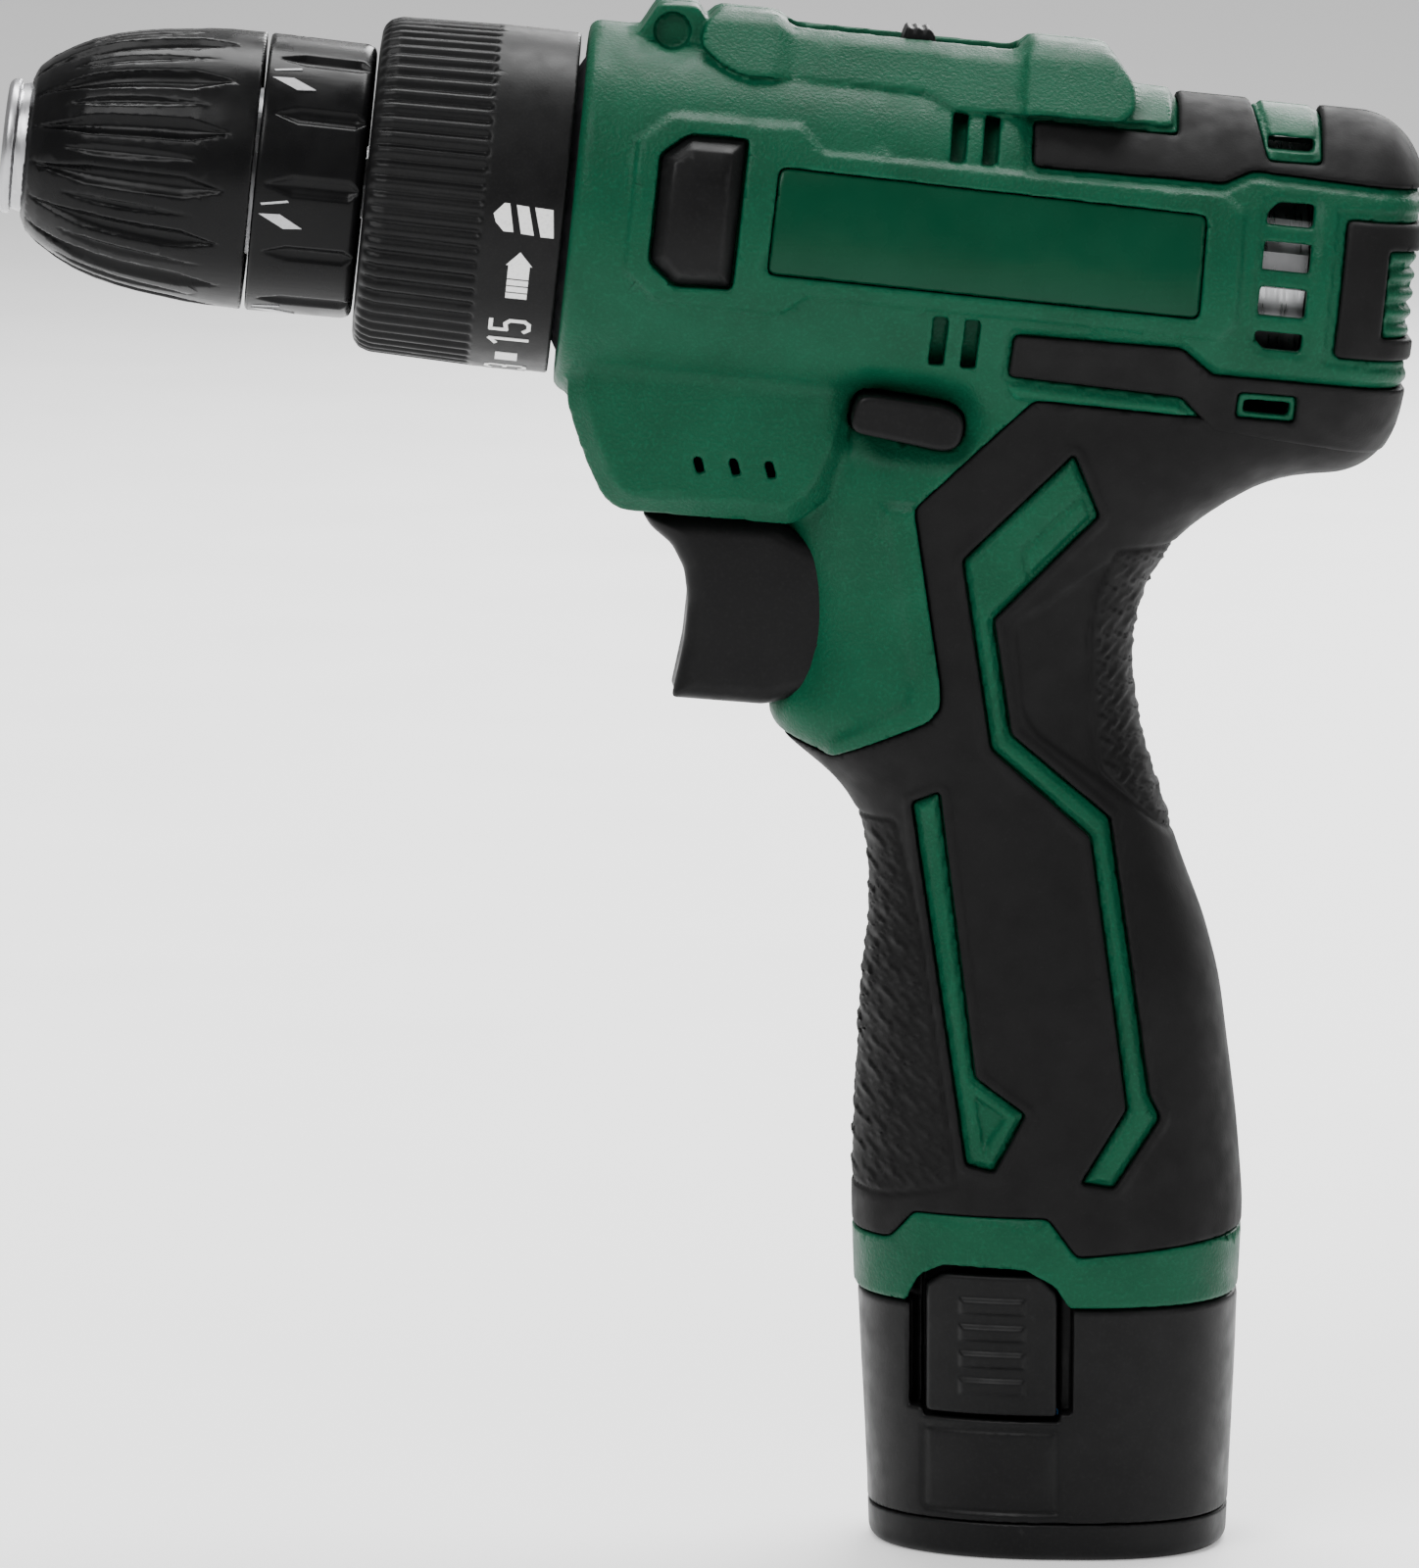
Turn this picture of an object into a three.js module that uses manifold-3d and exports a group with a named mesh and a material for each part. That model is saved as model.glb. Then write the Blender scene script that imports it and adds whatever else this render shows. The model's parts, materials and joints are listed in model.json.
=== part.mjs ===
// Compact 12 V cordless drill driver, standing on its battery.
// Millimetres, +Z up, nose towards -X. The origin is the centre of the battery's flat base.
// The handle and battery stand along Z. The head group holds everything on the spindle's axis,
// which is tilted nose-up: in that group x runs rearwards from the collar and z is up.
import * as THREE from 'three';
import { mergeVertices } from 'three/addons/utils/BufferGeometryUtils.js';
import Module from 'manifold-3d';

const wasm = await Module();
wasm.setup();

// ---------------------------------------------------------------- driving dimensions
const HEAD_TILT = THREE.MathUtils.degToRad(6);
const HEAD_ORIGIN = new THREE.Vector3(-63.76, 0, 178.59);
const GAP = 0.3;
const WALL = 2.2;
const HANDLE_WALL = 2.9;
const RUBBER = 1.2;
const INLAY = 1.2;

const NOSE_X = -74.5;
const NOSE_R = 8.9;
const BIT_BORE_R = 5.2;
const JAW_R = 2.7;
const JAW_ANGLE = THREE.MathUtils.degToRad(15);
const JAW_TIP_X = -63;
const JAW_TIP_R = 5;
const JAW_LENGTH = 19;
const SPINDLE_R = 4.8;

const COLLAR_R = 22.6;
const GEAR_CASE_R = 20.2;
const GEAR_CASE_X = [0.9, 39.6];

const SUN_TEETH = 12;
const PLANET_TEETH = 9;
const RING_TEETH = SUN_TEETH + 2 * PLANET_TEETH;
const MODULE = 1.05;
const ORBIT_R = MODULE * (SUN_TEETH + PLANET_TEETH) / 2;
const STAGE_X = { first: 28.5, second: 17 };
const GEAR_WIDTH = 6.5;

const MOTOR_R = 17.9;
const MOTOR_X = [42, 97];
const SHAFT_R = 1.6;

const BASE_TOP = 5;
const CASE_TOP = 34.1;
const STEM_TOP = 74.5;
const CELL_R = 9.25;
const CELL_LENGTH = 65;
const CELLS = [[-9, 0], [7, 9.3], [7, -9.3]];

// Screws that join the halves: x, z of the axis, y of the head's seat and the shank's length.
const SCREWS = [
  { x: 12, z: 25, seat: 4.5, length: 9, head: true },
  { x: 64, z: 23.4, seat: 4.5, length: 9, head: true },
  { x: 14.5, z: -33.4, seat: 8, length: 14, head: true },
  { x: -4, z: 105, seat: 8, length: 14, head: false },
];

// ---------------------------------------------------------------- materials
const finish = (color, roughness, metalness = 0) => ({ color, roughness, metalness });
const GREEN = finish('#175c3d', 0.55);
const RUBBER_BLACK = finish('#222222', 0.8);
const BLACK = finish('#191919', 0.45);
const GLOSS_GREEN = finish('#0e4a30', 0.25);
const STEEL = finish('#b4b6b8', 0.35, 1);
const DARK_STEEL = finish('#6f7173', 0.45, 1);
const SPRING_STEEL = finish('#9a9c9e', 0.4, 1);
const BRASS = finish('#b98d45', 0.35, 1);
const GREY_PLASTIC = finish('#3a3b3d', 0.5);
const CELL_WRAP = finish('#2f6fa8', 0.4);
const RED = finish('#a81d1b', 0.5);
const CLEAR = finish('#e6eef2', 0.1);

// ---------------------------------------------------------------- solids and booleans
// A closed geometry with merged corners and no collapsed triangles, facing outwards.
function closed(geometry) {
  const bare = geometry.clone();
  bare.deleteAttribute('normal');
  bare.deleteAttribute('uv');
  const merged = mergeVertices(bare, 1e-4);
  const index = merged.index.array;
  const at = merged.attributes.position;
  const kept = [];
  let volume = 0;
  const [a, b, c] = [new THREE.Vector3(), new THREE.Vector3(), new THREE.Vector3()];
  for (let i = 0; i < index.length; i += 3) {
    const [p, q, r] = [index[i], index[i + 1], index[i + 2]];
    if (p === q || q === r || r === p) continue;
    kept.push(p, q, r);
    a.fromBufferAttribute(at, p);
    b.fromBufferAttribute(at, q);
    c.fromBufferAttribute(at, r);
    volume += a.dot(b.cross(c));
  }
  if (volume < 0) {
    for (let i = 0; i < kept.length; i += 3) {
      [kept[i], kept[i + 1]] = [kept[i + 1], kept[i]];
    }
  }
  merged.setIndex(kept);
  return merged;
}

function solid(geometry) {
  const merged = closed(geometry);
  const vertProperties = Float32Array.from(merged.attributes.position.array);
  const triVerts = Uint32Array.from(merged.index.array);
  return new wasm.Manifold(new wasm.Mesh({ numProp: 3, vertProperties, triVerts }));
}

function geometryOf(manifold) {
  const mesh = manifold.getMesh();
  const geometry = new THREE.BufferGeometry();
  geometry.setAttribute('position', new THREE.BufferAttribute(Float32Array.from(mesh.vertProperties), 3));
  geometry.setIndex(Array.from(mesh.triVerts));
  return geometry;
}

// The main piece of a cut that also leaves crumbs.
const mainPiece = (geometry) => {
  const pieces = solid(geometry).decompose();
  return geometryOf(pieces.reduce((best, piece) => (piece.volume() > best.volume() ? piece : best)));
};

const joined = (first, ...rest) =>
  geometryOf(rest.reduce((sum, g) => sum.add(solid(g)), solid(first)));
const cut = (first, ...rest) =>
  geometryOf(rest.reduce((left, g) => left.subtract(solid(g)), solid(first)));
const common = (first, ...rest) =>
  geometryOf(rest.reduce((left, g) => left.intersect(solid(g)), solid(first)));

// ---------------------------------------------------------------- shape helpers
// A turned piece on the x axis from [x, r] points, closed on itself or on the axis.
function turned(points, segments = 24) {
  const profile = points.map(([x, r]) => new THREE.Vector2(r, x));
  return closed(new THREE.LatheGeometry(profile, segments).rotateZ(-Math.PI / 2));
}

// A tube on the x axis.
const tube = (x0, x1, inner, outer, segments = 24) =>
  turned([[x0, inner], [x0, outer], [x1, outer], [x1, inner], [x0, inner]], segments);

// A plain round bar on the x axis.
const bar = (x0, x1, r, segments = 20) => turned([[x0, 0], [x0, r], [x1, r], [x1, 0]], segments);

// A round bar across the tool, along y.
const crossBar = (x, z, y0, y1, r, segments = 10) =>
  new THREE.CylinderGeometry(r, r, y1 - y0, segments).translate(x, (y0 + y1) / 2, z);

const block = (x, y, z) => new THREE.BoxGeometry(x[1] - x[0], y[1] - y[0], z[1] - z[0])
  .translate((x[0] + x[1]) / 2, (y[0] + y[1]) / 2, (z[0] + z[1]) / 2);

// A closed outline of [u, v] points with its corners rounded to radius r.
function outline(points, r = 0) {
  const corners = points.map(([u, v]) => new THREE.Vector2(u, v));
  const shape = new THREE.Shape();
  corners.forEach((corner, i) => {
    const before = corners[(i + corners.length - 1) % corners.length];
    const after = corners[(i + 1) % corners.length];
    const reach = (other) => Math.min(r, corner.distanceTo(other) * 0.45);
    const from = corner.clone().lerp(before, reach(before) / corner.distanceTo(before));
    const to = corner.clone().lerp(after, reach(after) / corner.distanceTo(after));
    if (i === 0) shape.moveTo(from.x, from.y);
    else shape.lineTo(from.x, from.y);
    if (r > 0) shape.quadraticCurveTo(corner.x, corner.y, to.x, to.y);
  });
  shape.closePath();
  return shape;
}

// An outline in x and z, extruded across the tool from y0 to y1.
const slab = (points, y0, y1, r = 0, curveSegments = 3) =>
  new THREE.ExtrudeGeometry(outline(points, r), { depth: y1 - y0, bevelEnabled: false, curveSegments })
    .rotateX(Math.PI / 2).translate(0, y1, 0);

// The outline moved outwards by d on every edge; its points run anticlockwise in x and z.
function grown(points, d) {
  const normal = (a, b) => new THREE.Vector2(b[1] - a[1], a[0] - b[0]).normalize();
  return points.map((p, i) => {
    const before = normal(points[(i + points.length - 1) % points.length], p);
    const after = normal(p, points[(i + 1) % points.length]);
    const miter = before.clone().add(after).multiplyScalar(d / (1 + before.dot(after)));
    return [p[0] + miter.x, p[1] + miter.y];
  });
}

// A rounded box section swept along x or z. Each station gives its place along the sweep, the
// section's two ends across it, and its half width in y. skew makes the high end the wider one.
function loft(stations, { along, power = 2.4, skew = 0, segments = 20, shrink = 0 }) {
  const last = stations.length - 1;
  const geometry = new THREE.CylinderGeometry(1, 1, last, segments, last);
  const at = geometry.attributes.position;
  for (let i = 0; i < at.count; i += 1) {
    const station = stations[Math.round(last / 2 - at.getY(i))];
    const [place, low, high, half] = station;
    const radius = Math.min(1, Math.hypot(at.getX(i), at.getZ(i)));
    const angle = Math.atan2(at.getZ(i), at.getX(i));
    const bulge = (t) => Math.sign(t) * Math.abs(t) ** (2 / power);
    const across = bulge(Math.cos(angle)) * radius;
    const side = bulge(Math.sin(angle)) * radius * (1 + skew * Math.cos(angle));
    const span = (low + high) / 2 + across * ((high - low) / 2 - shrink);
    const y = side * (half - shrink);
    if (along === 'x') at.setXYZ(i, place, y, span);
    else at.setXYZ(i, span, y, place);
  }
  return closed(geometry);
}

// A gear's outline with straight-sided teeth, the first tooth towards turn. Teeth of an inside
// gear point inwards.
function gearOutline(teeth, { turn = 0, inside = false }) {
  const pitchR = MODULE * teeth / 2;
  const sign = inside ? -1 : 1;
  const tip = pitchR + sign * MODULE * 0.85;
  const root = pitchR - sign * MODULE * 1.15;
  const step = 2 * Math.PI / teeth;
  const shape = new THREE.Shape();
  for (let i = 0; i < teeth; i += 1) {
    const middle = turn + i * step;
    const corners = [[root, -0.29], [tip, -0.13], [tip, 0.13], [root, 0.29]];
    corners.forEach(([r, part], k) => {
      const angle = middle + part * step;
      const [u, v] = [r * Math.cos(angle), r * Math.sin(angle)];
      if (i === 0 && k === 0) shape.moveTo(u, v);
      else shape.lineTo(u, v);
    });
  }
  shape.closePath();
  return shape;
}

function circlePath(r, segments = 24) {
  const path = new THREE.Path();
  for (let i = 0; i < segments; i += 1) {
    const angle = -2 * Math.PI * i / segments;
    if (i === 0) path.moveTo(r, 0);
    else path.lineTo(r * Math.cos(angle), r * Math.sin(angle));
  }
  path.closePath();
  return path;
}

// Extrudes an outline in y and z along x. Its u axis points up and its v axis along -y.
const alongX = (shape, x0, x1) =>
  new THREE.ExtrudeGeometry(shape, { depth: x1 - x0, bevelEnabled: false })
    .rotateY(Math.PI / 2).rotateX(Math.PI).translate(x0, 0, 0);

function gear(teeth, x0, x1, turn = 0, bore = 0) {
  const shape = gearOutline(teeth, { turn });
  if (bore > 0) shape.holes.push(circlePath(bore, 8));
  return alongX(shape, x0, x1);
}

function ringGear(x0, x1, outer) {
  const halfStep = Math.PI / RING_TEETH;
  const shape = new THREE.Shape(circlePath(outer, 20).getPoints().reverse());
  shape.holes.push(gearOutline(RING_TEETH, { turn: halfStep, inside: true }));
  return alongX(shape, x0, x1);
}

// A round wire along a smooth path of points.
function wire(points, r, steps, sides = 8) {
  const section = new THREE.Shape(circlePath(r, sides).getPoints().reverse());
  const extrudePath = points instanceof THREE.Curve
    ? points : new THREE.CatmullRomCurve3(points.map((p) => new THREE.Vector3(...p)));
  return new THREE.ExtrudeGeometry(section, { steps, bevelEnabled: false, extrudePath });
}

class Helix extends THREE.Curve {
  constructor(x0, x1, r, turns) {
    super();
    Object.assign(this, { x0, x1, r, turns });
  }

  getPoint(t, target = new THREE.Vector3()) {
    const angle = 2 * Math.PI * this.turns * t;
    const x = this.x0 + (this.x1 - this.x0) * t;
    return target.set(x, this.r * Math.cos(angle), this.r * Math.sin(angle));
  }
}

// ---------------------------------------------------------------- the scene graph
const drill = new THREE.Group();
const head = new THREE.Group();
head.position.copy(HEAD_ORIGIN);
head.rotation.y = HEAD_TILT;
drill.add(head);

function add(parent, name, geometry, { color, roughness, metalness }) {
  const mesh = new THREE.Mesh(geometry, new THREE.MeshStandardMaterial({ color, roughness, metalness }));
  mesh.name = name;
  parent.add(mesh);
  return mesh;
}

// A copy of a head-group geometry, placed in the drill's own frame.
const inDrill = (geometry) => geometry.clone().rotateY(HEAD_TILT).translate(...HEAD_ORIGIN);

// ---------------------------------------------------------------- keyless chuck
const SLEEVE_OUTSIDE = [
  [-72.6, 9.3], [-71.6, 10.6], [-69.5, 12], [-66, 14.2], [-61, 16.1], [-55, 17.4], [-49, 18.1],
  [-41.4, 18.35],
];
const SLEEVE_FLUTES = 9;

function jawAxis(geometry, turn) {
  return geometry.rotateZ(JAW_ANGLE).translate(JAW_TIP_X, JAW_TIP_R, 0).rotateX(turn);
}

function chuckBody() {
  const outside = turned([
    [NOSE_X, 0], [NOSE_X, NOSE_R - 0.6], [NOSE_X + 0.6, NOSE_R], [-72.9, NOSE_R], [-72.9, 8.2],
    [-68, 9.6], [-63, 12.4], [-56.6, 13.2], [-56.6, 10.2], [-47.4, 12], [-46, 13.8], [-40.9, 13.8],
    [-40.9, 11], [-27.6, 11], [-27.6, 0],
  ], 20);
  const bitBore = bar(NOSE_X - 1, -47.8, BIT_BORE_R, 18);
  const screwHole = bar(-48, -41, 2.6, 12);
  const spindleBore = bar(-43, -27, SPINDLE_R + GAP, 16);
  const jawBores = [0, 1, 2].map((i) =>
    jawAxis(bar(-20, JAW_LENGTH + 1, JAW_R + GAP, 12), i * 2 * Math.PI / 3));
  return cut(outside, bitBore, screwHole, spindleBore, ...jawBores);
}

// A round jaw whose gripping edge is a wedge, so that the three close onto the axis side by side.
function chuckJaw(turn) {
  const edge = JAW_TIP_R - 0.1;
  const reach = 12;
  const width = reach * Math.sqrt(3);
  const wedge = outline([[0, -edge], [width, -edge - reach], [-width, -edge - reach]]);
  const rod = jawAxis(bar(0, JAW_LENGTH, JAW_R, 12), 0);
  return closed(common(rod, alongX(wedge, JAW_TIP_X + 0.2, -30))).rotateX(turn);
}

function frontSleeve() {
  const inside = [[-41.4, 15.2], [-55, 15], [-57, 14.2], [-63, 13.2], [-68, 10.5], [-72.6, 8.9]];
  const shell = turned([...SLEEVE_OUTSIDE, ...inside, SLEEVE_OUTSIDE[0]], 27);
  const flutes = [];
  for (let i = 0; i < SLEEVE_FLUTES; i += 1) {
    const flute = new THREE.CylinderGeometry(2.4, 1.2, 20, 4, 1).rotateZ(-Math.PI / 2);
    flutes.push(flute.rotateZ(0.16).translate(-56, 18, 0).rotateX(i * 2 * Math.PI / SLEEVE_FLUTES));
  }
  return cut(shell, ...flutes);
}

add(head, 'chuck_body', chuckBody(), STEEL);
add(head, 'chuck_front_sleeve', frontSleeve(), BLACK);
add(head, 'chuck_rear_sleeve', turned([
  [-41, 14.2], [-41, 18.3], [-28.2, 18.1], [-27, 17], [-27, 11.3], [-40.4, 11.3], [-40.4, 14.2], [-41, 14.2],
], 27), BLACK);
add(head, 'chuck_nut', turned([
  [-55.6, 11], [-55.6, 14.6], [-48.4, 14.9], [-48.4, 12.8], [-55.6, 11],
], 20), DARK_STEEL);
for (let i = 0; i < 3; i += 1) {
  add(head, `chuck_jaw_${i + 1}`, chuckJaw(i * 2 * Math.PI / 3), DARK_STEEL);
}
add(head, 'chuck_screw', cut(
  turned([[-50.8, 0], [-50.8, 3.6], [-50, 4.2], [-48.2, 4.2], [-48.2, 2.2], [-33, 2.2], [-33, 0]], 12),
  block([-52, -49.4], [-3.2, 3.2], [-0.5, 0.5]),
  block([-52, -49.4], [-0.5, 0.5], [-3.2, 3.2]),
), STEEL);

// ---------------------------------------------------------------- spindle, collar and clutch
const CARRIER_2_X = STAGE_X.second - 4;
add(head, 'spindle', cut(
  turned([
    [-41.6, 0], [-41.6, SPINDLE_R], [-19, SPINDLE_R], [-19, 6.2], [-17.6, 6.2], [-17.6, 5.2],
    [6, 5.2], [6, 7], [CARRIER_2_X - GAP, 7], [CARRIER_2_X - GAP, 0],
  ], 16),
  bar(-43, -31, 2.5, 12),
), STEEL);
for (const [name, x] of [['front_bearing', -17.2], ['rear_bearing', 0]]) {
  add(head, name, tube(x, x + 5, 5.5, 9.4, 18), BRASS);
}

function torqueCollar() {
  const shell = turned([
    [-26.5, 9], [-26.5, 20.6], [-25.6, 21.8], [-22, COLLAR_R - 0.2], [-0.3, COLLAR_R],
    [-0.3, 20.4], [-23.6, 20], [-23.6, 9], [-26.5, 9],
  ], 32);
  const grooves = [];
  const count = 8;
  for (let i = 0; i < count; i += 1) {
    const groove = new THREE.BoxGeometry(14, 1.2, 2.4).translate(-18, COLLAR_R + 0.1, 0);
    grooves.push(groove.rotateX(i * 2 * Math.PI / count));
  }
  return cut(shell, ...grooves);
}
add(head, 'torque_collar', torqueCollar(), BLACK);
add(head, 'clutch_nut', tube(-21.5, -17.5, 13.6, 19.2, 24), GREY_PLASTIC);
add(head, 'clutch_spring', wire(new Helix(-15.6, -2.4, 15, 3.25), 1, 36, 5), SPRING_STEEL);

function gearCase() {
  const [front, rear] = GEAR_CASE_X;
  const shell = turned([
    [-22.8, 9.8], [-22.8, 12.6], [-0.9, 12.6], [-0.9, 17], [front, GEAR_CASE_R],
    [rear, GEAR_CASE_R], [rear, 17.8], [6.4, 17.8], [6.4, 9.8], [-22.8, 9.8],
  ], 24);
  const forkSlot = block([19.5, rear + 1], [-3.5, 3.5], [16, 22]);
  return cut(shell, forkSlot);
}
add(head, 'gear_case', gearCase(), GREY_PLASTIC);

// ---------------------------------------------------------------- two planetary stages
function carrier(x, sun) {
  const plate = bar(x, x + 2.8, 14, 24);
  const pins = [0, 1, 2].map((i) =>
    bar(x + 2.4, x + 2.8 + GEAR_WIDTH, 1.5, 8).translate(0, ORBIT_R * Math.sin(i * 2 * Math.PI / 3), 0)
      .translate(0, 0, ORBIT_R * Math.cos(i * 2 * Math.PI / 3)));
  const suns = sun ? [gear(SUN_TEETH, x - GEAR_WIDTH - 0.6, x + 0.5)] : [];
  return joined(plate, ...pins, ...suns);
}

// Planets stand over the sun's teeth, so each meets the sun with a gap and the ring with a tooth.
function planet(x, i) {
  const turn = i * 2 * Math.PI / 3;
  return gear(PLANET_TEETH, x, x + GEAR_WIDTH, turn, 1.8)
    .translate(0, -ORBIT_R * Math.sin(turn), ORBIT_R * Math.cos(turn));
}

const CARRIER_1_X = STAGE_X.first - 3.6;
const RING_R = 17.4;
add(head, 'output_carrier', carrier(CARRIER_2_X, false), DARK_STEEL);
add(head, 'input_carrier', carrier(CARRIER_1_X, true), DARK_STEEL);
for (const [stage, x] of Object.entries(STAGE_X)) {
  for (let i = 0; i < 3; i += 1) {
    add(head, `planet_${stage}_${i + 1}`, planet(x, i), DARK_STEEL);
  }
}
add(head, 'fixed_ring_gear', ringGear(STAGE_X.first - 0.5, STAGE_X.first + 7, RING_R), DARK_STEEL);
add(head, 'shift_ring_gear', ringGear(STAGE_X.second - 1.5, STAGE_X.second + 5.5, RING_R), DARK_STEEL);
add(head, 'motor_pinion', gear(SUN_TEETH, STAGE_X.first, STAGE_X.first + 7.5, 0, SHAFT_R + 0.2), BRASS);

// ---------------------------------------------------------------- speed selector
const KNOB_X = 43.8;
add(head, 'speed_selector', joined(
  block([30, 50], [-5, 5], [20.6, 21.8]),
  slab([[KNOB_X - 2.8, 21], [KNOB_X + 2.8, 21], [KNOB_X + 2, 28.2], [KNOB_X - 1.9, 28.2]], -4.6, 4.6),
  block([20, 32], [-1.2, 1.2], [20.5, 21.3]),
  block([20, 20.8], [-1.2, 1.2], [17.8, 20.9]),
), BLACK);

// ---------------------------------------------------------------- motor
// The can with its ring magnet bonded inside.
function motorCan() {
  const [front, rear] = MOTOR_X;
  const inside = MOTOR_R - 1.2;
  const magnet = { front: front + 16, rear: rear - 8, r: 12.9 };
  const shell = turned([
    [front, 3.4], [front, inside], [front + 1.2, MOTOR_R], [rear, MOTOR_R], [rear, inside],
    [magnet.rear, inside], [magnet.rear, magnet.r], [magnet.front, magnet.r], [magnet.front, inside],
    [front + 1.4, inside], [front + 1.4, 3.4], [front, 3.4],
  ], 24);
  const slot = block([front + 5, front + 12], [-2.5, 2.5], [14, 20]);
  const slots = [0.5, 1.5].map((turn) => slot.clone().rotateX(turn * Math.PI));
  return cut(shell, ...slots);
}
add(head, 'motor_can', motorCan(), STEEL);
add(head, 'motor_end_cap', cut(
  turned([
    [97.3, 2.6], [97.3, 16.4], [99, 16.4], [99, MOTOR_R - 0.2], [101.5, 16.5], [104, 7], [106, 6],
    [106, 2.6], [97.3, 2.6],
  ], 18),
  block([96, 103], [9, 14], [-3, 3]),
  block([96, 103], [-14, -9], [-3, 3]),
), GREY_PLASTIC);

function rotor() {
  const shaft = bar(STAGE_X.first - 0.2, 105, SHAFT_R, 12);
  const core = bar(60, 84, 12, 16);
  const windings = turned([[57, 1], [57, 8], [59, 10.5], [85, 10.5], [87, 8], [87, 1], [57, 1]], 16);
  const commutator = bar(90, 96, 4.5, 12);
  const fan = tube(48, 50, 1, 11, 16);
  return joined(shaft, core, windings, commutator, fan);
}
add(head, 'motor_rotor', rotor(), DARK_STEEL);

// ---------------------------------------------------------------- housing envelopes
// Barrel stations: x, underside z, top z, half width. Handle stations: z, front x, rear x, half width.
const BARREL = [
  [0.6, -23.4, 23.4, 23.4], [1.8, -24.6, 24.6, 24.5], [16, -24.4, 24.5, 24.5], [60, -24.4, 23.6, 24.2],
  [74, -24.4, 22.9, 23.6], [100, -24.9, 22.9, 23.4], [105, -24.4, 22.3, 22.8], [109, -22.2, 20.3, 20.6],
  [112.3, -17.5, 15.5, 15.5],
];
const HANDLE = [
  [34.4, -25.5, 25.5, 22.7], [46, -26, 26.2, 23], [58, -25.7, 25.2, 22.8], [76, -24.6, 22.9, 22.7],
  [84, -23.7, 20.8, 20.6], [92, -23.8, 17.7, 18.6], [98, -25, 15.8, 17.6], [104, -29.2, 14, 17],
  [110, -32.6, 12.4, 16.8], [122, -33.4, 11.2, 16.8], [130, -33.4, 13.7, 17], [136, -33.6, 18.1, 17.4],
  [142, -34, 28, 18], [147, -34, 42, 18.6], [156, -30, 43, 18],
];
const TRIGGER_HOUSING = [
  [2.2, -18], [2.6, -25], [5.4, -31.5], [8.6, -37], [11, -38.4], [34, -38], [38, -34], [46, -10], [4, -10],
];
const EAR = [[5.4, 20], [8.4, 26.6], [10, 28], [14.6, 28], [16.6, 26.4], [18, 20]];
const RAIL = [
  [14, 20], [15, 26.2], [17.4, 28], [25, 28.2], [28, 26.8], [56, 26.8], [58.6, 28], [68.4, 28],
  [71.4, 24.6], [71.6, 20],
];
const RAIL_Y = [5.6, 11];

const barrel = (shrink = 0) => {
  const stations = BARREL.map(([x, ...rest]) => [x > 100 ? x - shrink : x, ...rest]);
  return loft(stations, { along: 'x', shrink, power: 2.1 });
};
const HANDLE_PLAN = { along: 'z', power: 2.5, skew: 0.12 };
const handle = (shrink = 0) => loft(HANDLE, { ...HANDLE_PLAN, shrink });

function envelope() {
  return joined(
    inDrill(barrel()),
    handle(),
    inDrill(slab(TRIGGER_HOUSING, -15.2, 15.2, 1.5)),
    inDrill(slab(EAR, -8, 8, 0.8)),
    inDrill(slab(RAIL, ...RAIL_Y, 0.8)),
    inDrill(slab(RAIL, -RAIL_Y[1], -RAIL_Y[0], 0.8)),
  );
}

function hollow() {
  const chamber = HANDLE.map(([z, ...rest]) => [z === HANDLE[0][0] ? z - 1 : z, ...rest]);
  return joined(
    inDrill(common(barrel(WALL), block([3, 110], [-30, 30], [-30, 30]))),
    inDrill(bar(-1, 6, GEAR_CASE_R + 2 * GAP, 24)),
    inDrill(block([28, 56], [-5.4, 5.4], [18, 22.2])),
    loft(chamber, { ...HANDLE_PLAN, shrink: HANDLE_WALL }),
    inDrill(slab(grown(TRIGGER_HOUSING, -WALL), -13, 13)),
  );
}

// ---------------------------------------------------------------- inlaid skins
const SIDE_PAD = [
  [11.4, -4.4], [14.8, -7.2], [22.3, -6.6], [22.4, 12.4], [14.8, 12.3], [11.4, 9.5],
];
const NAME_PLATE = [[27, -4.4], [83.2, -4.6], [82.9, 8.6], [27, 9.4]];
const BUMPER = [
  [59.8, -15], [82.6, -15.4], [87, -19.6], [106, -21], [109.4, -17], [109.3, 18], [105, 23],
  [98, 25.5], [78.4, 25.5], [78.4, 18.8], [59.6, 18.2], [60.2, 13.4], [86.3, 12.9], [90.2, 14.8],
  [99, 14.4], [99, -11.6], [83.6, -12.3],
  [78.7, -9], [59.7, -9.5],
];
const GRIP = [
  [-25.8, 114], [-29.6, 106.4], [-22, 108.8], [-17, 111.4], [-14.3, 116.3], [-18.2, 134.4],
  [-18.9, 140.6], [-0.3, 155], [41, 148.4], [50, 150], [50, 44.8], [24.8, 44.9], [4.5, 41.9],
  [-2.6, 46.5], [-18.1, 46.3], [-21.4, 43.6], [-40, 45.6], [-40, 114],
].reverse();

function skin(outer, inner, region, side, lift = 0) {
  const [y0, y1] = side > 0 ? [lift, 40] : [-40, -lift];
  return geometryOf(solid(outer).subtract(solid(inner)).intersect(solid(slab(region, y0, y1))));
}

// Pockets are cut a gap deeper and wider than the pieces that sit in them.
function pocket(outer, inner, region, lift = 0) {
  const wide = grown(region, GAP);
  const band = (y0, y1) => solid(slab(wide, y0, y1));
  const sides = band(-40, -lift).add(band(lift, 40));
  return geometryOf(solid(outer).subtract(solid(inner)).intersect(sides));
}

const SIDES = { left: -1, right: 1 };
const barrelSkins = {
  side_pad: { region: SIDE_PAD, depth: INLAY, lift: 2, look: BLACK },
  name_plate: { region: NAME_PLATE, depth: INLAY, lift: 2, look: GLOSS_GREEN },
  rear_bumper: { region: BUMPER, depth: INLAY, lift: 4, look: RUBBER_BLACK },
};

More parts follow.
